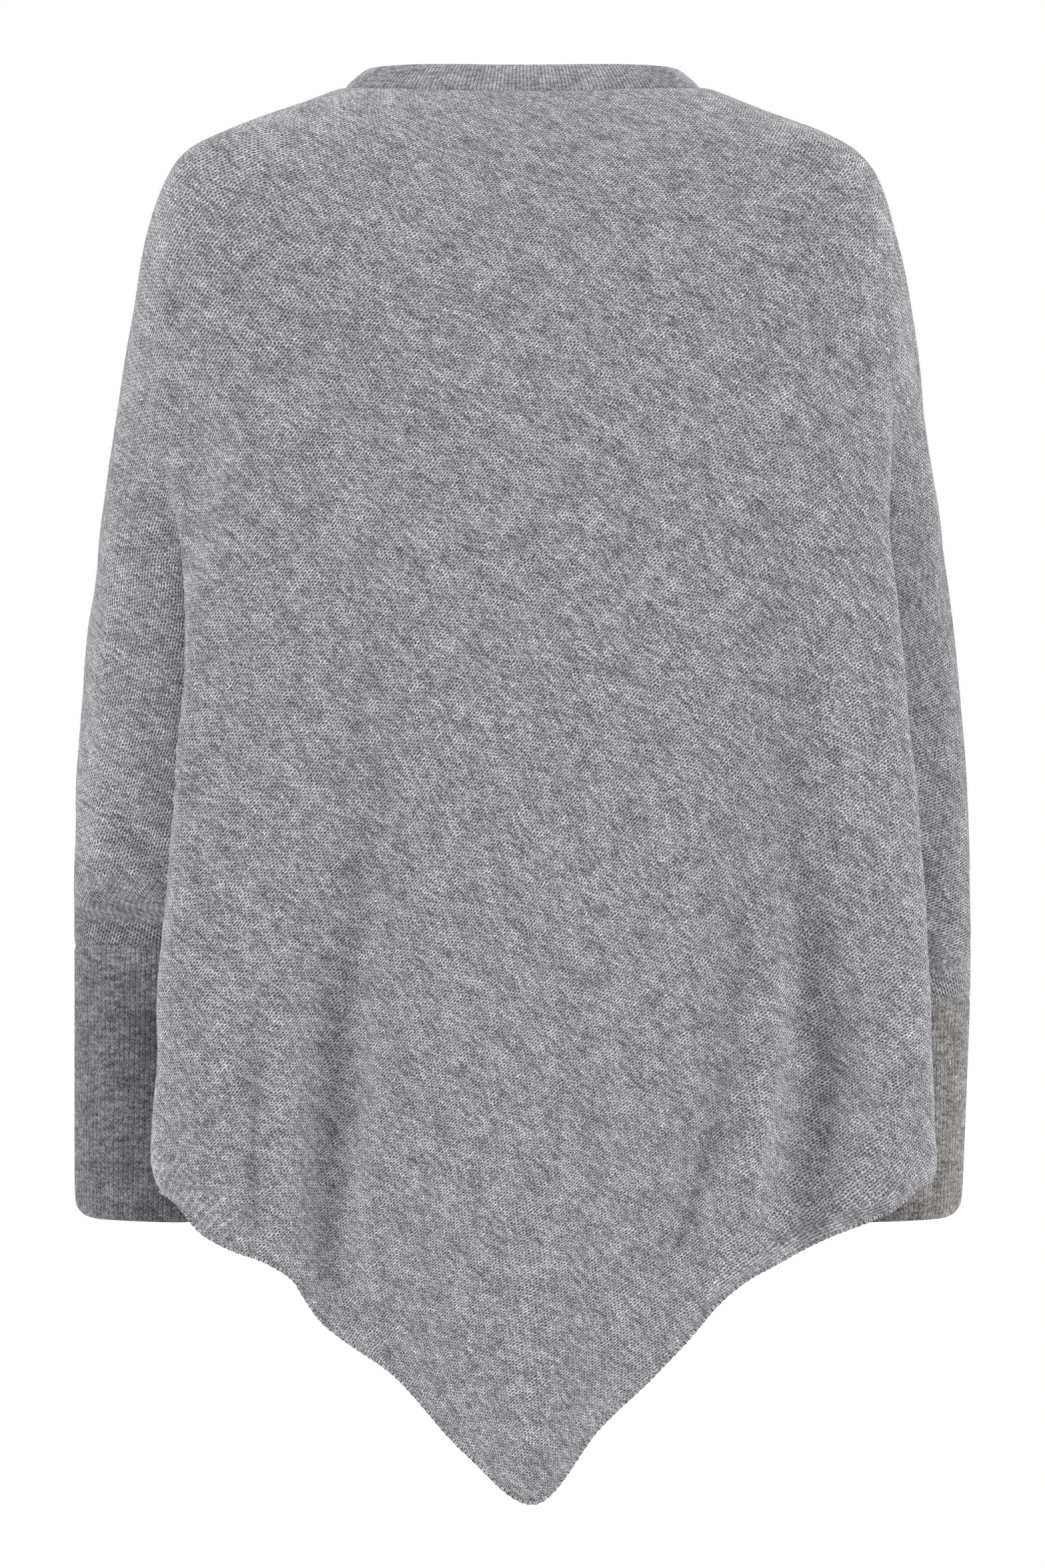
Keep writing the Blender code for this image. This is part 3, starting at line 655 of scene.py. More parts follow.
def cloth_shell(name, outer, inner, quads, attributes, materials):
    """A closed sheet: the outer face takes the first material, the inner face the second."""
    shift = len(outer)
    rim = edges_used_once(quads)
    rim_quads = np.column_stack((rim[:, 1], rim[:, 0], rim[:, 0] + shift, rim[:, 1] + shift))
    faces = np.vstack((quads, quads[:, ::-1] + shift, rim_quads)).tolist()
    both = {label: np.vstack((values, values)) for label, values in attributes.items()}
    piece = new_piece(name, np.vstack((outer, inner)), faces, materials, both)
    slots = np.zeros(len(faces), np.int32)
    slots[len(quads) : 2 * len(quads)] = 1
    piece.data.polygons.foreach_set("material_index", slots)
    return piece


def colour(hexcode):
    """An sRGB hex value as linear RGB with alpha."""
    parts = np.array([int(hexcode[i : i + 2], 16) for i in (1, 3, 5)]) / 255
    linear = np.where(parts <= 0.04045, parts / 12.92, ((parts + 0.055) / 1.055) ** 2.4)
    return (*linear, 1.0)


def bare_material(name):
    """A new material and its node tree, with nothing in it yet."""
    material = bpy.data.materials.new(name)
    material.use_nodes = True
    material.node_tree.nodes.clear()
    return material, material.node_tree


def add(tree, kind, *values, **named):
    """Adds a node. Its kind may end in its operation, as in Math.ADD. Its inputs come in order or by
    name, each a value, a socket or a node, which stands for its first output. A name in small
    letters is a setting."""
    kind, _, operation = kind.partition(".")
    node = tree.nodes.new("ShaderNode" + kind)
    if operation:
        node.operation = operation
    inputs = list(zip(node.inputs, values))
    for name, value in named.items():
        if name.islower():
            setattr(node, name, value)
        else:
            inputs.append((node.inputs[name.replace("_", " ")], value))
    for socket, value in inputs:
        if isinstance(value, bpy.types.Node):
            value = value.outputs[0]
        if isinstance(value, bpy.types.NodeSocket):
            tree.links.new(value, socket)
        else:
            socket.default_value = value
    return node


# How many slow drifts there are to a stitch, and how many stitches each one moves the knit by.
LAY_DRIFTS = ((0.35, 0.8), (1.3, 0.38))


def wavering_lay(tree):
    """Wales, courses and neither, with stitches a little uneven in size and place."""
    place = add(tree, "Attribute", attribute_name="lay").outputs["Vector"]
    for size, amount in LAY_DRIFTS:
        drift = add(tree, "TexNoise", Vector=place, Scale=size, Detail=1.0, Roughness=0.5)
        drift = add(tree, "VectorMath.SUBTRACT", drift.outputs["Color"], (0.5, 0.5, 0.5))
        place = add(tree, "VectorMath.MULTIPLY_ADD", drift, (amount, amount, 0.0), place)
    return add(tree, "SeparateXYZ", place).outputs


def wave(tree, turns, kind="COSINE"):
    """The cosine or sine of a number of whole turns."""
    return add(tree, "Math." + kind, add(tree, "Math.MULTIPLY", turns, 2 * np.pi))


# Shares of a stitch's height: the leg, its lean, its overlap with the next, and the join of the V.
LEG, LEG_LEAN, OVERLAP, JOIN = 0.31, 0.105, 0.038, 0.27
MIDDLE_HEIGHT = 0.54


def stitches(tree, wales, courses):
    """Stockinette, from 0 in its deeps to 1 on its legs: two lanes of legs to every wale, each leg
    leaning to meet its partner in a V and overlapping the one above."""
    side_to_side = wave(tree, wales)
    up_down = wave(tree, courses)
    lag = wave(tree, courses, "SINE")
    lanes = add(tree, "Math.MULTIPLY_ADD", add(tree, "Math.MULTIPLY", side_to_side, side_to_side), -2.0, 1.0)
    lanes = add(tree, "Math.MULTIPLY", lanes, add(tree, "Math.MULTIPLY_ADD", lag, LEG_LEAN, LEG))
    joins = add(tree, "Math.MULTIPLY", add(tree, "Math.MULTIPLY", side_to_side, up_down), JOIN)
    height = add(tree, "Math.ADD", lanes, add(tree, "Math.MULTIPLY_ADD", lag, OVERLAP, joins))
    return add(tree, "Math.ADD", height, MIDDLE_HEIGHT)


SLEEVE_END_WALE, SLEEVE_END_COURSE = 0.0036, 0.0024
# How high the lines of each rib stand on what base, and how much of the stitches shows between them.
STRETCHED_LINE, STRETCHED_BASE, STRETCHED_STITCHES, LINE_SHARPNESS = 0.24, 0.08, 0.74, 3.0
EDGE_RIB_LINE, EDGE_RIB_BASE, EDGE_RIB_STITCHES, EDGE_RIB = 0.22, 0.30, 0.45, 0.0018


def knit_side(tree):
    """The right side of the panels, with the ribs of the borders and of the sleeve ends."""
    wales, courses, _ = wavering_lay(tree)
    height = stitches(tree, wales, courses)
    border = add(tree, "Attribute", attribute_name="border").outputs["Vector"]
    stretched, sideways, gathered = add(tree, "SeparateXYZ", border).outputs
    place = add(tree, "Attribute", attribute_name="place").outputs["Vector"]
    across, drop, above_hem = add(tree, "SeparateXYZ", place).outputs

    # The lower left border is a stretched rib: one knit line to every two wales, bumps between.
    line = wave(tree, add(tree, "Math.MULTIPLY", wales, 0.5))
    line = add(tree, "Math.POWER", add(tree, "Math.MULTIPLY_ADD", line, 0.5, 0.5), LINE_SHARPNESS)
    line = add(tree, "Math.MULTIPLY_ADD", line, STRETCHED_LINE, STRETCHED_BASE)
    bumps = add(tree, "Math.MULTIPLY_ADD", height, STRETCHED_STITCHES, line)
    # The lower right border is a rib that runs along the edge.
    ridge = wave(tree, add(tree, "Math.DIVIDE", above_hem, EDGE_RIB))
    ridge = add(tree, "Math.MULTIPLY_ADD", ridge, EDGE_RIB_LINE, EDGE_RIB_BASE)
    edge_rib = add(tree, "Math.MULTIPLY_ADD", height, EDGE_RIB_STITCHES, ridge)
    # At the sleeve ends the stitches turn to run straight down into the cuff.
    down_wales = add(tree, "Math.DIVIDE", across, SLEEVE_END_WALE)
    down_courses = add(tree, "Math.DIVIDE", drop, SLEEVE_END_COURSE)
    straight = stitches(tree, down_wales, down_courses)
    for strength, other in ((stretched, bumps), (sideways, edge_rib), (gathered, straight)):
        height = add(tree, "Mix", Factor=strength, A=height, B=other)
    return height


# How far a row of purl bumps sways, in courses, and how high the bumps stand.
PURL_SWAY, PURL_HEIGHT = 0.28, 0.4


def purl_side(tree):
    """The inside of stockinette: rows of interlocking bumps along every course."""
    wales, courses, _ = wavering_lay(tree)
    row = wave(tree, add(tree, "Math.MULTIPLY_ADD", wave(tree, wales), PURL_SWAY, courses))
    return add(tree, "Math.MULTIPLY_ADD", row, PURL_HEIGHT, 0.5)


# The nap lies in patches 5.3 mm wide. Single fibres are too fine to show, so they are drawn 0.8 mm
# wide. The marl's own sizes are in stitches.
NAP_PATCH = 1 / 190
FIBRE_WIDTH = 1 / 1300
STREAKS_PER_STITCH = (0.45, 0.85, 0.0)
LEGS_PER_STITCH = (2.0, 1.0, 0.0)
PATCHES_PER_STITCH = (0.15, 0.20, 0.0)
MARL_BALANCE, MARL_STOPS = -0.95, (0.22, 0.78)
# Between these amounts of nap, the stitches' relief goes from stronger than it is down to half.
NAP_THIN, NAP_THICK, RELIEF_CLEAR, RELIEF_HAZY = 0.3, 0.7, 1.25, 0.5
# The stitch heights where the painted shade is deepest and palest, the painted light on the stitch tops, and
# the fibres' relief.
DEEPEST, HIGHEST, PALEST, FIBRE_RELIEF = 0.06, 0.94, 1.08, 0.35


def marl_wool(name, pattern, dark, middle, light, deeps_painted_shade, bump):
    """Brushed marl wool. Dark and pale fibres are spun together, so the colour runs in streaks
    along the courses, and the deeps between stitches carry painted shade and the stitch tops painted light,
    under a pale haze of nap."""
    material, tree = bare_material(name)
    height = pattern(tree)
    solid = add(tree, "TexCoord").outputs["Object"]
    # The nap lies thicker in places and half hides the stitches there.
    haze = add(tree, "TexNoise", Vector=solid, Scale=1 / NAP_PATCH, Detail=2.0, Roughness=0.6)
    clear = add(tree, "MapRange", haze, NAP_THIN, NAP_THICK, RELIEF_CLEAR, RELIEF_HAZY)
    height = add(tree, "Math.MULTIPLY_ADD", add(tree, "Math.SUBTRACT", height, 0.5), clear, 0.5)

    place = add(tree, "Attribute", attribute_name="lay").outputs["Vector"]
    streaked = add(tree, "VectorMath.MULTIPLY", place, STREAKS_PER_STITCH)
    streaks = add(tree, "TexNoise", Vector=streaked, Scale=1.0, Detail=3.0, Roughness=0.75)
    one_leg = add(tree, "VectorMath.MULTIPLY", place, LEGS_PER_STITCH)
    legs = add(tree, "TexNoise", Vector=one_leg, Scale=1.0, Detail=0.0)
    fibres = add(tree, "TexNoise", Vector=solid, Scale=1 / FIBRE_WIDTH, Detail=1.0, Roughness=0.6)
    wide = add(tree, "VectorMath.MULTIPLY", place, PATCHES_PER_STITCH)
    patches = add(tree, "TexNoise", Vector=wide, Scale=1.0, Detail=3.0, Roughness=0.6)
    tone = MARL_BALANCE
    for marl, share in ((streaks, 1.20), (legs, 0.35), (fibres, 0.80), (patches, 0.55)):
        tone = add(tree, "Math.MULTIPLY_ADD", marl, share, tone)
    ramp = add(tree, "ValToRGB", tone)
    for stop, position, shade in zip(ramp.color_ramp.elements, MARL_STOPS, (dark, light)):
        stop.position = position
        stop.color = colour(shade)
    ramp.color_ramp.elements.new(0.5).color = colour(middle)

    # Painted shade in the deeps between stitches and painted light on their tops, by stitch height.
    shade = add(tree, "MapRange", height, DEEPEST, HIGHEST, deeps_painted_shade, PALEST)
    shaded = add(tree, "VectorMath.SCALE", ramp, Scale=shade)
    # The wool is a darker lot in the sleeves and is rubbed paler or darker by the folds.
    # Painted shade on the sleeves, and painted light and shade from the folds, taken off the colour.
    painted_light_and_shade = add(tree, "Attribute", attribute_name="painted_light_and_shade").outputs["Vector"]
    kept = add(tree, "VectorMath.SUBTRACT", (1.0, 1.0, 1.0), painted_light_and_shade)
    relief = add(tree, "Math.MULTIPLY_ADD", fibres, FIBRE_RELIEF, height)
    surface = add(
        tree,
        "BsdfPrincipled",
        Base_Color=add(tree, "VectorMath.MULTIPLY", shaded, kept),
        Normal=add(tree, "Bump", Strength=1.0, Distance=bump, Height=relief),
        Roughness=0.95,
        Diffuse_Roughness=1.0,
        Specular_IOR_Level=0.15,
        Sheen_Weight=0.25,
        Sheen_Roughness=0.6,
        Sheen_Tint=colour("#d6d6dc"),
    )
    add(tree, "OutputMaterial", Surface=surface)
    return material


def near(points, targets):
    """How far each point is from the nearest of the targets."""
    tree = KDTree(len(targets))
    for i, target in enumerate(targets):
        tree.insert(target, i)
    tree.balance()
    return np.array([tree.find(point)[2] for point in points])


# The cloth swells a little beside its seams and is pressed thinner along the hem's edge and where
# the sleeve's end goes into the cuff.
SEAM_SWELL, SEAM_SWELL_WIDTH = 0.0009, 0.0035
HEM_EDGE_THICKNESS, HEM_EDGE_DEPTH = 0.5, 0.006
SLEEVE_END_FROM, SLEEVE_END_THICKNESS, SLEEVE_END_DEPTH = 0.474, 0.35, 0.006
# How high the rounding of the hem's corners goes, how far in it draws them, and where it begins.
CORNER_HEIGHT_LEFT, CORNER_PULL_LEFT = 0.022, 0.006
CORNER_HEIGHT_RIGHT, CORNER_PULL_RIGHT = 0.015, 0.004
CORNER_FROM, CORNER_OVER = 0.165, 0.045

# The ribs along the hem: how far out from the middle they begin, how high they go, and the lengths
# over which they come in and go out.
LEFT_BORDER_FROM, LEFT_BORDER_HEIGHT, LEFT_BORDER_GOES = 0.140, 0.024, 0.010
RIGHT_BORDER_FROM, RIGHT_BORDER_HEIGHT, RIGHT_BORDER_GOES = 0.070, 0.008, 0.003
BORDER_COMES = 0.030
# The sleeve ends turn straight from these drops on.
GATHERED_LEFT, GATHERED_RIGHT, GATHERED_OVER = 0.434, 0.480, 0.018
# Where each sleeve begins, deep in its groove: how far down, and how far across along the cloth.
SLEEVE_STARTS_DROP = (0.18, 0.29, 0.40, 0.50)
SLEEVE_STARTS_ACROSS = (0.195, 0.238, 0.250, 0.275)
SLEEVE_COMES = 0.010

# Painted shade: the left sleeve's end grows darker on a slant down into its cuff, and the right
# sleeve is a little darker all along. Painted light on the ridges and painted shade down in the folds.
LEFT_CUFF_PAINTED_SHADE, LEFT_SHADE_FROM, LEFT_SHADE_OVER = 0.49, 0.400, 0.105
LEFT_SHADE_SLANT, LEFT_SHADE_EDGE = 0.8, 0.2532
RIGHT_SLEEVE_PAINTED_SHADE, RIGHT_SHADE_FROM, RIGHT_SHADE_OVER = 0.14, 0.180, 0.12
PAINTED_SHADE_PER_FOLD_DEPTH, PAINTED_RIDGE_AND_FOLD_LIMITS = 7.0, (-0.006, 0.013)


def left_painted_shade(x, drop):
    """How much of the left cuff's painted shade a point takes, from 0 in the body to 1 in the cuff."""
    return ease((drop - LEFT_SHADE_FROM - LEFT_SHADE_SLANT * (x + LEFT_SHADE_EDGE)) / LEFT_SHADE_OVER)


NAP_ON_A_PANEL = 6000
NAP_LENGTHS, NAP_RADIUS, NAP_TAPER = (0.0010, 0.0026), 0.000035, 0.5
NAP_RINGS = (0.0, 0.4, 0.75)
# How thick the nap stands on the flat, more where the cloth is seen edge on, and more at its rims.
NAP_FLAT, NAP_EDGE_ON, NAP_AT_RIM, NAP_RIM_WIDTH = 0.15, 1.2, 3.0, 0.006
NAP_STANDS, NAP_BENDS = 0.7, 0.35


def nap(name, points, quads, seed, count):
    """Loose fibre ends that stand off the cloth, thickest along its edges and outline. Each is a
    closed hair with three sides, all in one mesh."""
    rng = np.random.default_rng(seed)
    normals = surface_normals(points, quads)
    rim = np.unique(edges_used_once(quads))
    edge_on = NAP_FLAT + NAP_EDGE_ON * (1 - np.abs(normals[:, 1])) ** 2
    edge_on += NAP_AT_RIM * np.exp(-((near(points, points[rim]) / NAP_RIM_WIDTH) ** 2))
    corners = points[quads]
    size = np.linalg.norm(np.cross(corners[:, 2] - corners[:, 0], corners[:, 3] - corners[:, 1]), axis=1)
    odds = size * edge_on[quads].mean(axis=1)
    chosen = quads[rng.choice(len(quads), count, p=odds / odds.sum())]
    share = rng.dirichlet((1, 1, 1, 1), count)[:, :, None]
    root = (points[chosen] * share).sum(axis=1)
    out = unit((normals[chosen] * share).sum(axis=1))
    length = rng.uniform(*NAP_LENGTHS, count)[:, None]
    run = unit(NAP_STANDS * out + unit(rng.normal(size=(count, 3)))) * length
    bend = unit(rng.normal(size=(count, 3))) * length * NAP_BENDS
    side = unit(np.cross(run, bend))
    other = unit(np.cross(run, side))
    rows = []
    for t in NAP_RINGS:
        middle = root + run * t + bend * t * t
        for turn in (0.0, 2 * np.pi / 3, 4 * np.pi / 3):
            round_hair = side * np.cos(turn) + other * np.sin(turn)
            rows.append(middle + round_hair * NAP_RADIUS * (1 - NAP_TAPER * t))
    rows.append(root + run + bend)
    hairs = np.stack(rows, axis=1).reshape(-1, 3)
    first = (np.arange(count) * len(rows))[:, None]
    tip = len(rows) - 1
    faces = [(0, 2, 1), (tip - 3, tip - 2, tip), (tip - 2, tip - 1, tip), (tip - 1, tip - 3, tip)]
    for low in range(0, tip - 3, 3):
        for k in range(3):
            a, b = low + k, low + (k + 1) % 3
            faces += [(a, b, b + 3), (a, b + 3, a + 3)]
    return new_piece(name, hairs, np.vstack([first + face for face in faces]).tolist(), (loose_fibres,))


# A fibre's shade changes about every 2 mm.
FIBRE_SHADE_LENGTH = 1 / 500


def fibre_wool(name, dark, light):
    """Single wool fibres, some dark and some pale, with a soft shine that lights up the outline."""
    material, tree = bare_material(name)
    solid = add(tree, "TexCoord").outputs["Object"]
    spun = add(tree, "TexNoise", Vector=solid, Scale=1 / FIBRE_SHADE_LENGTH, Detail=1.0)
    ramp = add(tree, "ValToRGB", spun)
    for stop, position, shade in zip(ramp.color_ramp.elements, (0.35, 0.60), (dark, light)):
        stop.position = position
        stop.color = colour(shade)
    surface = add(tree, "BsdfPrincipled", Base_Color=ramp, Roughness=0.8, Sheen_Weight=0.3)
    add(tree, "OutputMaterial", Surface=surface)
    return material


# Loose fibres, a little paler than the yarn they come from.
loose_fibres = fibre_wool("loose_marl_wool_fibres", "#8e8e93", "#d8d8dc")


def knitted_panel(name, face, seed, materials):
    """One panel as a shell on its form, with its creases and the way its knit lies."""
    form = panel_form(face)
    quads, across = form["quads"], form["across"]
    # The hem's corners at the two side folds are drawn in, round and not pointed.
    left = form["points"][:, 0] < 0
    corner = 1 - form["above_hem"] / np.where(left, CORNER_HEIGHT_LEFT, CORNER_HEIGHT_RIGHT)
    corner = np.clip(corner, 0, 1) ** 2
    corner *= ease((np.abs(form["points"][:, 0]) - CORNER_FROM) / CORNER_OVER)
    form["points"][:, 0] += np.where(left, CORNER_PULL_LEFT, -CORNER_PULL_RIGHT) * corner
    rim = np.unique(edges_used_once(quads))
    points = settle(form["points"], quads, rim, SETTLING_ROUNDS)
    drop = -points[:, 2]
    wales_and_courses = count_stitches(points, quads, across, drop)
    fixed = np.setdiff1d(rim, form["hem"][1:-1])
    loose = 1 - np.exp(-((near(points, points[fixed]) / SEAM_SWELL_WIDTH) ** 2))
    normals = surface_normals(points, quads)
    folded_in = creased(face, across, drop)
    pushed = folded_in + uneven(across, drop, seed) - SEAM_SWELL
    points = points - normals * (loose * pushed)[:, None]
    normals = surface_normals(points, quads)
    above_hem = form["above_hem"]
    thickness = HEM_EDGE_THICKNESS + (1 - HEM_EDGE_THICKNESS) * ease(above_hem / HEM_EDGE_DEPTH)
    ends = rim[(above_hem[rim] == FAR_ABOVE_HEM) & (drop[rim] > SLEEVE_END_FROM)]
    near_end = near(points, points[ends])
    thickness *= SLEEVE_END_THICKNESS + (1 - SLEEVE_END_THICKNESS) * ease(near_end / SLEEVE_END_DEPTH)
    half = normals * (thickness * WALL / 2)[:, None]
    x = points[:, 0] * -face
    border = np.zeros_like(points)
    border[:, 0] = ease((-LEFT_BORDER_FROM - x) / BORDER_COMES)
    border[:, 0] *= 1 - ease((above_hem - LEFT_BORDER_HEIGHT) / LEFT_BORDER_GOES)
    border[:, 1] = ease((x - RIGHT_BORDER_FROM) / BORDER_COMES)
    border[:, 1] *= 1 - ease((above_hem - RIGHT_BORDER_HEIGHT) / RIGHT_BORDER_GOES)
    underarm = np.interp(drop, SLEEVE_STARTS_DROP, SLEEVE_STARTS_ACROSS)
    on_sleeve = (above_hem == FAR_ABOVE_HEM) * ease((np.abs(across) - underarm) / SLEEVE_COMES)
    gathers_at = np.where(x < 0, GATHERED_LEFT, GATHERED_RIGHT)
    border[:, 2] = ease((drop - gathers_at) / GATHERED_OVER) * on_sleeve
    lay = np.column_stack((wales_and_courses, np.zeros(len(points))))
    place = np.column_stack((across, drop, above_hem))
    # Painted shade on the sleeves, darkest on a slant into the left cuff.
    left = LEFT_CUFF_PAINTED_SHADE * left_painted_shade(points[:, 0], drop)
    right = RIGHT_SLEEVE_PAINTED_SHADE * ease((drop - RIGHT_SHADE_FROM) / RIGHT_SHADE_OVER)
    sleeve_painted_shade = np.where(points[:, 0] < 0, left, right) * on_sleeve
    # Painted shade down in the folds and painted light on the ridges, from how far the creases push.
    painted_fold_light_and_shade = PAINTED_SHADE_PER_FOLD_DEPTH * np.clip(loose * folded_in, *PAINTED_RIDGE_AND_FOLD_LIMITS)
    painted_light_and_shade = np.outer(sleeve_painted_shade + painted_fold_light_and_shade, (1.0, 1.0, 1.0))
    attributes = {"lay": lay, "border": border, "place": place, "painted_light_and_shade": painted_light_and_shade}
    piece = cloth_shell(name, points + half, points - half, quads, attributes, materials)
    hairs = nap(name + "_nap", points + half, quads, seed, NAP_ON_A_PANEL)
    return piece, hairs, points, form


CORD_RADIUS, CORD_PITCH = 0.0010, 0.0042
CORD_STEPS, CORD_SIDES = 6, 8
# How much a knot swells the cord, and how far it lifts it.
KNOT_SWELL, KNOT_LIFT = 0.10, 0.00015


def hem_cord(name, line, material):
    """The knotted edge where the hem was cast off, a bumpy cord along the line."""
    lengths = run_lengths(line)
    count = int(lengths[-1] / CORD_PITCH) * CORD_STEPS
    where = np.linspace(0, lengths[-1], count)
    path = np.column_stack([np.interp(where, lengths, line[:, k]) for k in range(3)])
    ahead = unit(np.gradient(path, axis=0))
    side = unit(np.cross(ahead, (0.0, 0.0, 1.0)))
    up = np.cross(side, ahead)
    knots = 2 * np.pi * where / CORD_PITCH
    radius = CORD_RADIUS * (1 + KNOT_SWELL * np.cos(knots))
    path = path + up * (KNOT_LIFT * np.sin(knots))[:, None]
    turns = np.linspace(0, 2 * np.pi, CORD_SIDES, endpoint=False)
    round_cord = np.cos(turns)[None, :, None] * side[:, None] + np.sin(turns)[None, :, None] * up[:, None]
    points = (path[:, None] + radius[:, None, None] * round_cord).reshape(-1, 3)
    quads = []
    for i in range(count - 1):
        for k in range(CORD_SIDES):
            a, b = i * CORD_SIDES + k, i * CORD_SIDES + (k + 1) % CORD_SIDES
            quads.append((a, b, b + CORD_SIDES, a + CORD_SIDES))
    ends = [tuple(range(CORD_SIDES))[::-1], tuple(range((count - 1) * CORD_SIDES, count * CORD_SIDES))]
    lay = np.column_stack((where / WALE_PITCH, where * 0, where * 0)).repeat(CORD_SIDES, axis=0)
    return new_piece(name, points, quads + ends, (material,), {"lay": lay})


# Stockinette with its right side out: pale stitches in a lattice of small gaps, dark with painted shade.
back_knit = marl_wool(
    "brushed_marl_wool_stockinette", knit_side, "#838388", "#bebdc1", "#eeeef0", 0.15, 0.0005
)
# The purl side, seen through the neck, cuffs and hem, is the same wool in bumps.
inside_knit = marl_wool("brushed_marl_wool_purl", purl_side, "#7d7d82", "#adadb1", "#d2d2d5", 0.30, 0.0004)
back_panel, back_nap, back_points, back_form = knitted_panel("knit_back", BACK, 11, (back_knit, inside_knit))
back_edge = hem_cord("cast_off_edge_back", back_points[back_form["hem"]], back_knit)
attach(back_panel, "root")
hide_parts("back_panel")
for extra in (back_edge, back_nap):
    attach(extra, "root")


# ----------------------------------------------------------------------------------- front panel
# The front of the body and the front halves of the sleeves, the same wool and knit as the back and
# sewn to it at the same seams. Its neckline is deeper, and its hem even and a little higher.

front_panel, front_nap, front_points, front_form = knitted_panel(
    "knit_front", FRONT, 12, (back_knit, inside_knit)
)
front_edge = hem_cord("cast_off_edge_front", front_points[front_form["hem"]], back_knit)
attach(front_panel, "root")
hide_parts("front_panel")
for extra in (front_edge, front_nap):
    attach(extra, "root")


# -------------------------------------------------------------------------------------- neckband
# A narrow band of one-by-one rib, knitted in the round on a finer gauge and linked to the neckline
# of both panels with a row of chain stitches, which shows as a dark line below it.

BAND_RISE_BACK, BAND_RISE_SIDE = 0.0163, 0.0125
BAND_TOP_WIDTH, BAND_TOP_DEPTH = 0.853, 0.90
BAND_RIB_PITCH, BAND_COURSE, BAND_RIB_STEPS = 0.0022, 0.0017, 6
# The ribs rise over this share of the band's height, and the wall thins at its top.
BAND_RIB_HEIGHT, BAND_RIBS_RISE = 0.00025, 0.1
BAND_THINS_TO, BAND_THINS_OVER = 1.06, 0.2
# Part of the way up, and how far the band stands out of its straight wall there.
BAND_LEVELS = (
    (-0.10, -0.0014),
    (0.00, -0.0010),
    (0.07, 0.0000),
    (0.16, 0.0005),
    (0.32, 0.0007),
    (0.50, 0.0007),
    (0.68, 0.0006),
    (0.84, 0.0003),
    (0.94, -0.0002),
    (1.00, -0.0009),
)


def ring_quads(levels, count):
    """Quads between closed rows of points, each row above the one before."""
    column_of = np.arange(count)
    beside = (column_of + 1) % count
    rows = [
        np.column_stack((low + column_of, low + beside, low + count + beside, low + count + column_of))
        for low in np.arange(levels - 1) * count
    ]
    return np.vstack(rows)


def even_ring(line, count):
    """A closed line as count evenly spaced points along it."""
    closed = np.vstack((line, line[:1]))
    lengths = run_lengths(closed)
    where = np.linspace(0, lengths[-1], count, endpoint=False)
    return np.column_stack([np.interp(where, lengths, closed[:, k]) for k in range(3)])


RIB_BASE = 0.27


def ribbed(tree, wales, courses, line, shown):
    """One-by-one rib: each ridge carries a single wale of stitches. The ridges are formed too, so a line
    adds only its painted shade, and the stitches show by a share."""
    ridge = add(tree, "Math.MULTIPLY_ADD", wave(tree, wales), line, RIB_BASE)
    return add(tree, "Math.MULTIPLY_ADD", stitches(tree, wales, courses), shown, ridge)


def band_rib(tree):
    """The neckband's rib, even and crisp."""
    lay = add(tree, "Attribute", attribute_name="lay").outputs["Vector"]
    wales, courses, _ = add(tree, "SeparateXYZ", lay).outputs
    return ribbed(tree, wales, courses, line=0.17, shown=0.50)


back_row = back_points[back_form["neckline"]]
front_row = front_points[front_form["neckline"]][::-1]
neckline = np.vstack((back_row[:-1], front_row[:-1]))
neck_length = run_lengths(np.vstack((neckline, neckline[:1])))[-1]
band_count = int(round(neck_length / BAND_RIB_PITCH)) * BAND_RIB_STEPS
base = even_ring(neckline, band_count)
centre_y = 0.5 * (base[:, 1].min() + base[:, 1].max())
sideways = np.clip(np.abs(base[:, 0]) / NECK_HALF_WIDTH, 0, 1) ** 3
band_top = base * (BAND_TOP_WIDTH, BAND_TOP_DEPTH, 1.0)
band_top[:, 1] += centre_y * (1 - BAND_TOP_DEPTH)
band_top[:, 2] += BAND_RISE_BACK * (1 - sideways) + BAND_RISE_SIDE * sideways
band_run = np.roll(base, -1, axis=0) - np.roll(base, 1, axis=0)
band_out = unit(np.cross(band_run, band_top - base))
rib_turn = 2 * np.pi * np.arange(band_count) / BAND_RIB_STEPS
band_rows, band_inner, band_lay = [], [], []
for part, stand in BAND_LEVELS:
    rib_height = BAND_RIB_HEIGHT * ease(part / BAND_RIBS_RISE) * np.cos(rib_turn)
    middle = base * (1 - part) + band_top * part
    taper = ease((BAND_THINS_TO - part) / BAND_THINS_OVER)
    band_rows.append(middle + band_out * (stand + 0.5 * WALL * taper + rib_height)[:, None])
    band_inner.append(middle + band_out * (stand - 0.5 * WALL * taper))
    run = np.linalg.norm(band_top - base, axis=1) * part / BAND_COURSE
    band_lay.append(np.column_stack((np.arange(band_count) / BAND_RIB_STEPS, run, run * 0)))
# One-by-one rib on the outside of the band.
rib_knit = marl_wool("brushed_marl_wool_fine_rib", band_rib, "#88888d", "#bcbbc0", "#e6e6e9", 0.22, 0.0003)
neckband = cloth_shell(
    "knit_neckband",
    np.vstack(band_rows),
    np.vstack(band_inner),
    ring_quads(len(BAND_LEVELS), band_count),
    {"lay": np.vstack(band_lay)},
    (rib_knit, rib_knit),
)
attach(neckband, "root")
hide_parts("neckband")


# ----------------------------------------------------------------------------------------- cuffs
# A long tube of one-by-one rib at each wrist, in the same wool on a finer gauge, linked to the end
# of the sleeve. Both hang empty, and the left one is buckled just below its seam.

CUFF_END_DROP, CUFF_END_HALF_WIDTH, CUFF_END_SLOPE = 0.635, 0.0375, 0.04
RIGHT_WRIST_IN = 0.005
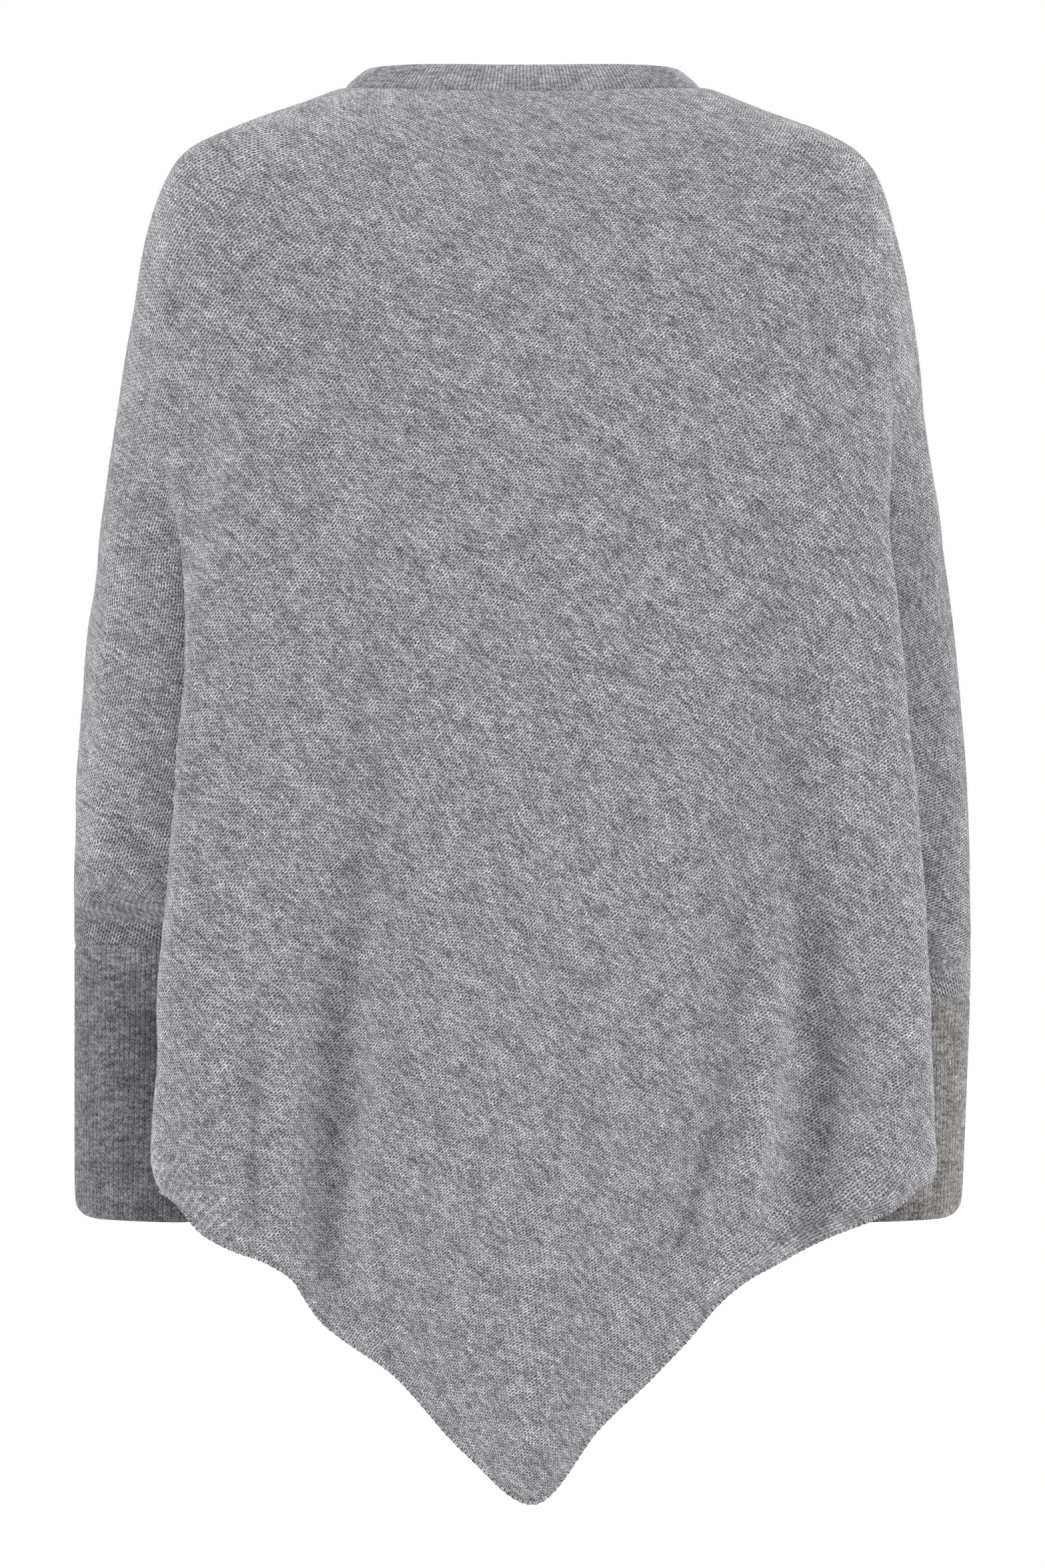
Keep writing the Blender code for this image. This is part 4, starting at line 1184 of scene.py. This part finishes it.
# The wrist edge curves up at its sides, and both edges turn in. Powers say how suddenly.
CUFF_END_ROUND, ROUND_SIDEWAYS, ROUND_UPWARDS = 0.0055, 8, 10
EDGES_TURN_IN, WRIST_TURNS, TOP_TURN_HEIGHT = 0.0012, 20, 0.008
WRIST_THICKNESS, WRIST_THICKENS_OVER = 0.55, 0.03
CUFF_RIBS, CUFF_COURSE, CUFF_TUCK = 84, 0.0024, 0.004
CUFF_RIB_HEIGHT, CUFF_RIBS_RISE = 0.00010, 0.02
CUFF_COLUMNS, CUFF_ROWS = 6 * CUFF_RIBS, 60
NAP_ON_A_CUFF = 2000
# Buckles as (side, x, drop, half width across, half height, push in).
CUFF_BUCKLES = (
    (-1, -0.2230, 0.5050, 0.012, 0.0045, -0.0026),
    (-1, -0.2090, 0.5115, 0.012, 0.0040, -0.0028),
    (-1, -0.2050, 0.5230, 0.010, 0.0080, 0.0060),
    (-1, -0.2440, 0.5400, 0.008, 0.0200, 0.0016),
    (-1, -0.2260, 0.5700, 0.007, 0.0300, -0.0012),
    (1, 0.2400, 0.5300, 0.010, 0.0120, 0.0026),
    (1, 0.2250, 0.5900, 0.008, 0.0250, -0.0012),
)


def knitted_cuff(name, side, materials):
    """One cuff. Its wrist edge is rounded at both sides and hangs a little lower on the inner one."""
    turns = np.linspace(-np.pi, np.pi, CUFF_COLUMNS, endpoint=False)[::side]
    outer, inner, lay = [], [], []
    for part in np.linspace(0, 1, CUFF_ROWS):
        half_width = CUFF_HALF_WIDTH * part + CUFF_END_HALF_WIDTH * (1 - part)
        plan = cuff_ring(turns, side, half_width)
        centre = (plan[:, 0].max() + plan[:, 0].min()) / 2
        from_centre = plan[:, 0] - centre
        plan[:, 0] -= max(side, 0) * RIGHT_WRIST_IN * (1 - part)
        top_z = -CUFF_TOP_DROP + CUFF_TUCK - lean_of_garment(plan[:, 0], UNDERARM_DROP)
        end_z = -CUFF_END_DROP + CUFF_END_SLOPE * side * from_centre
        z = top_z * part + end_z * (1 - part)
        rounded = (np.abs(from_centre) / half_width) ** ROUND_SIDEWAYS * (1 - part) ** ROUND_UPWARDS
        z += CUFF_END_ROUND * rounded
        plan_out = np.column_stack((side * np.cos(turns) / half_width, np.sin(turns) / CUFF_HALF_DEPTH))
        out = unit(np.column_stack((plan_out, np.zeros(CUFF_COLUMNS))))
        middle = np.column_stack((plan, z))
        near_top = ease((z - top_z + TOP_TURN_HEIGHT) / TOP_TURN_HEIGHT)
        stand = -EDGES_TURN_IN * (near_top + (1 - part) ** WRIST_TURNS)
        for buckled, x, drop, wide, high, push in CUFF_BUCKLES:
            if buckled == side:
                spread = ((plan[:, 0] - x) / wide) ** 2 + ((-z - drop) / high) ** 2
                stand = stand - push * np.exp(-spread) * (plan[:, 1] < SEAM_Y)
        ribs = turns * CUFF_RIBS / (2 * np.pi)
        ridges = CUFF_RIB_HEIGHT * np.cos(2 * np.pi * ribs)
        ridges *= ease(part / CUFF_RIBS_RISE) * (1 - near_top)
        taper = WRIST_THICKNESS + (1 - WRIST_THICKNESS) * ease(part / WRIST_THICKENS_OVER)
        outer.append(middle + out * (stand + 0.5 * WALL * taper + ridges)[:, None])
        inner.append(middle + out * (stand - 0.5 * WALL * taper)[:, None])
        lay.append(np.column_stack((ribs, -z / CUFF_COURSE, z * 0)))
    quads = ring_quads(CUFF_ROWS, CUFF_COLUMNS)
    outer = np.vstack(outer)
    # The left cuff has the full painted shade in its colours, so it is painted paler where that shade still
    # comes in.
    painted_light_and_shade = np.zeros_like(outer)
    if side < 0:
        painted_shade_share = left_painted_shade(outer[:, 0], -outer[:, 2])[:, None]
        painted_light_and_shade += 1 - (1 - LEFT_CUFF_PAINTED_SHADE * painted_shade_share) / (1 - LEFT_CUFF_PAINTED_SHADE)
    attributes = {"lay": np.vstack(lay), "painted_light_and_shade": painted_light_and_shade}
    piece = cloth_shell(name, outer, np.vstack(inner), quads, attributes, materials)
    return piece, nap(name + "_nap", outer, quads, 20 + side, NAP_ON_A_CUFF)


def felted_rib(tree):
    """The cuffs' rib: worn soft, its ribs and stitches nearly lost under the nap."""
    wales, courses, _ = wavering_lay(tree)
    return ribbed(tree, wales, courses, line=0.09, shown=0.55)


# The cuffs are the same marl with painted shade in their colours, the left one the darker, and the right one
# also a little browner.
left_rib = marl_wool("marl_wool_rib_left_painted_shade", felted_rib, "#58585b", "#8c8c8e", "#bababc", 0.20, 0.0004)
right_rib = marl_wool("marl_wool_rib_right_painted_shade", felted_rib, "#6b6967", "#a6a4a2", "#d6d3d1", 0.20, 0.0004)
for name, side, node, material in (
    ("knit_cuff_left", -1, "left_cuff", left_rib),
    ("knit_cuff_right", 1, "right_cuff", right_rib),
):
    cuff, cuff_nap = knitted_cuff(name, side, (material, material))
    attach(cuff, "root")
    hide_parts(node)
    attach(cuff_nap, "root")


# ------------------------------------------------------------------------------ floor and lights
# A plain white studio: soft lights far out on both sides rake over the folds of the back, with a
# weak one in front of it, two more for the far side, and white all round.

FLOOR_RADIUS, FLOOR_DROP = 1.5, 1.2
LAMPS_FACE = Vector((0, 0, -0.4))

bpy.ops.mesh.primitive_cylinder_add(vertices=96, radius=FLOOR_RADIUS, depth=0.02)
floor = bpy.context.object
floor.name = "studio_floor"
floor.location = (0, 0, -FLOOR_DROP)
# Matt white paint, to send a little light up under the hem.
paint, painted = bare_material("matt_white_paint")
matt = add(painted, "BsdfPrincipled", Base_Color=colour("#f2f2f2"), Roughness=0.9)
add(painted, "OutputMaterial", Surface=matt)
floor.data.materials.append(paint)

# The camera sees plain white all round, and the cloth is lit by a dimmer one.
world = bpy.data.worlds.new("white_studio")
world.use_nodes = True
bpy.context.scene.world = world
sky = world.node_tree
sky.nodes.clear()
seen = add(sky, "LightPath").outputs["Is Camera Ray"]
strength = add(sky, "MapRange", seen, 0.0, 1.0, 0.36, 1.0)
light = add(sky, "Background", Color=(1.0, 1.0, 1.0, 1.0), Strength=strength)
add(sky, "OutputWorld", Surface=light)


def soft_light(name, place, size, power):
    """A round lamp that faces the middle of the garment."""
    lamp = bpy.data.lights.new(name, "AREA")
    lamp.shape = "DISK"
    lamp.size = size
    lamp.energy = power
    lit = bpy.data.objects.new(name, lamp)
    lit.location = place
    lit.rotation_euler = (LAMPS_FACE - Vector(place)).to_track_quat("-Z", "Y").to_euler()
    bpy.context.scene.collection.objects.link(lit)


soft_light("key_light", (3.6, -1.8, 1.2), 1.8, 122)
soft_light("fill_light", (-3.6, -1.8, 0.8), 1.8, 116)
soft_light("front_light", (0.4, -4.2, 1.6), 2.4, 36)
soft_light("far_side_light_right", (3.2, 3.0, 1.2), 1.8, 75)
soft_light("far_side_light_left", (-3.2, 3.0, 0.9), 1.8, 70)

lens = bpy.data.cameras.new("straight_on")
lens.sensor_width = 36.0
lens.lens = 204.08
camera = bpy.data.objects.new("straight_on", lens)
camera.location = (0, -5, -0.38925)
camera.rotation_euler = (np.pi / 2, 0, 0)
bpy.context.scene.collection.objects.link(camera)
bpy.context.scene.camera = camera
bpy.context.scene.view_settings.view_transform = "Standard"
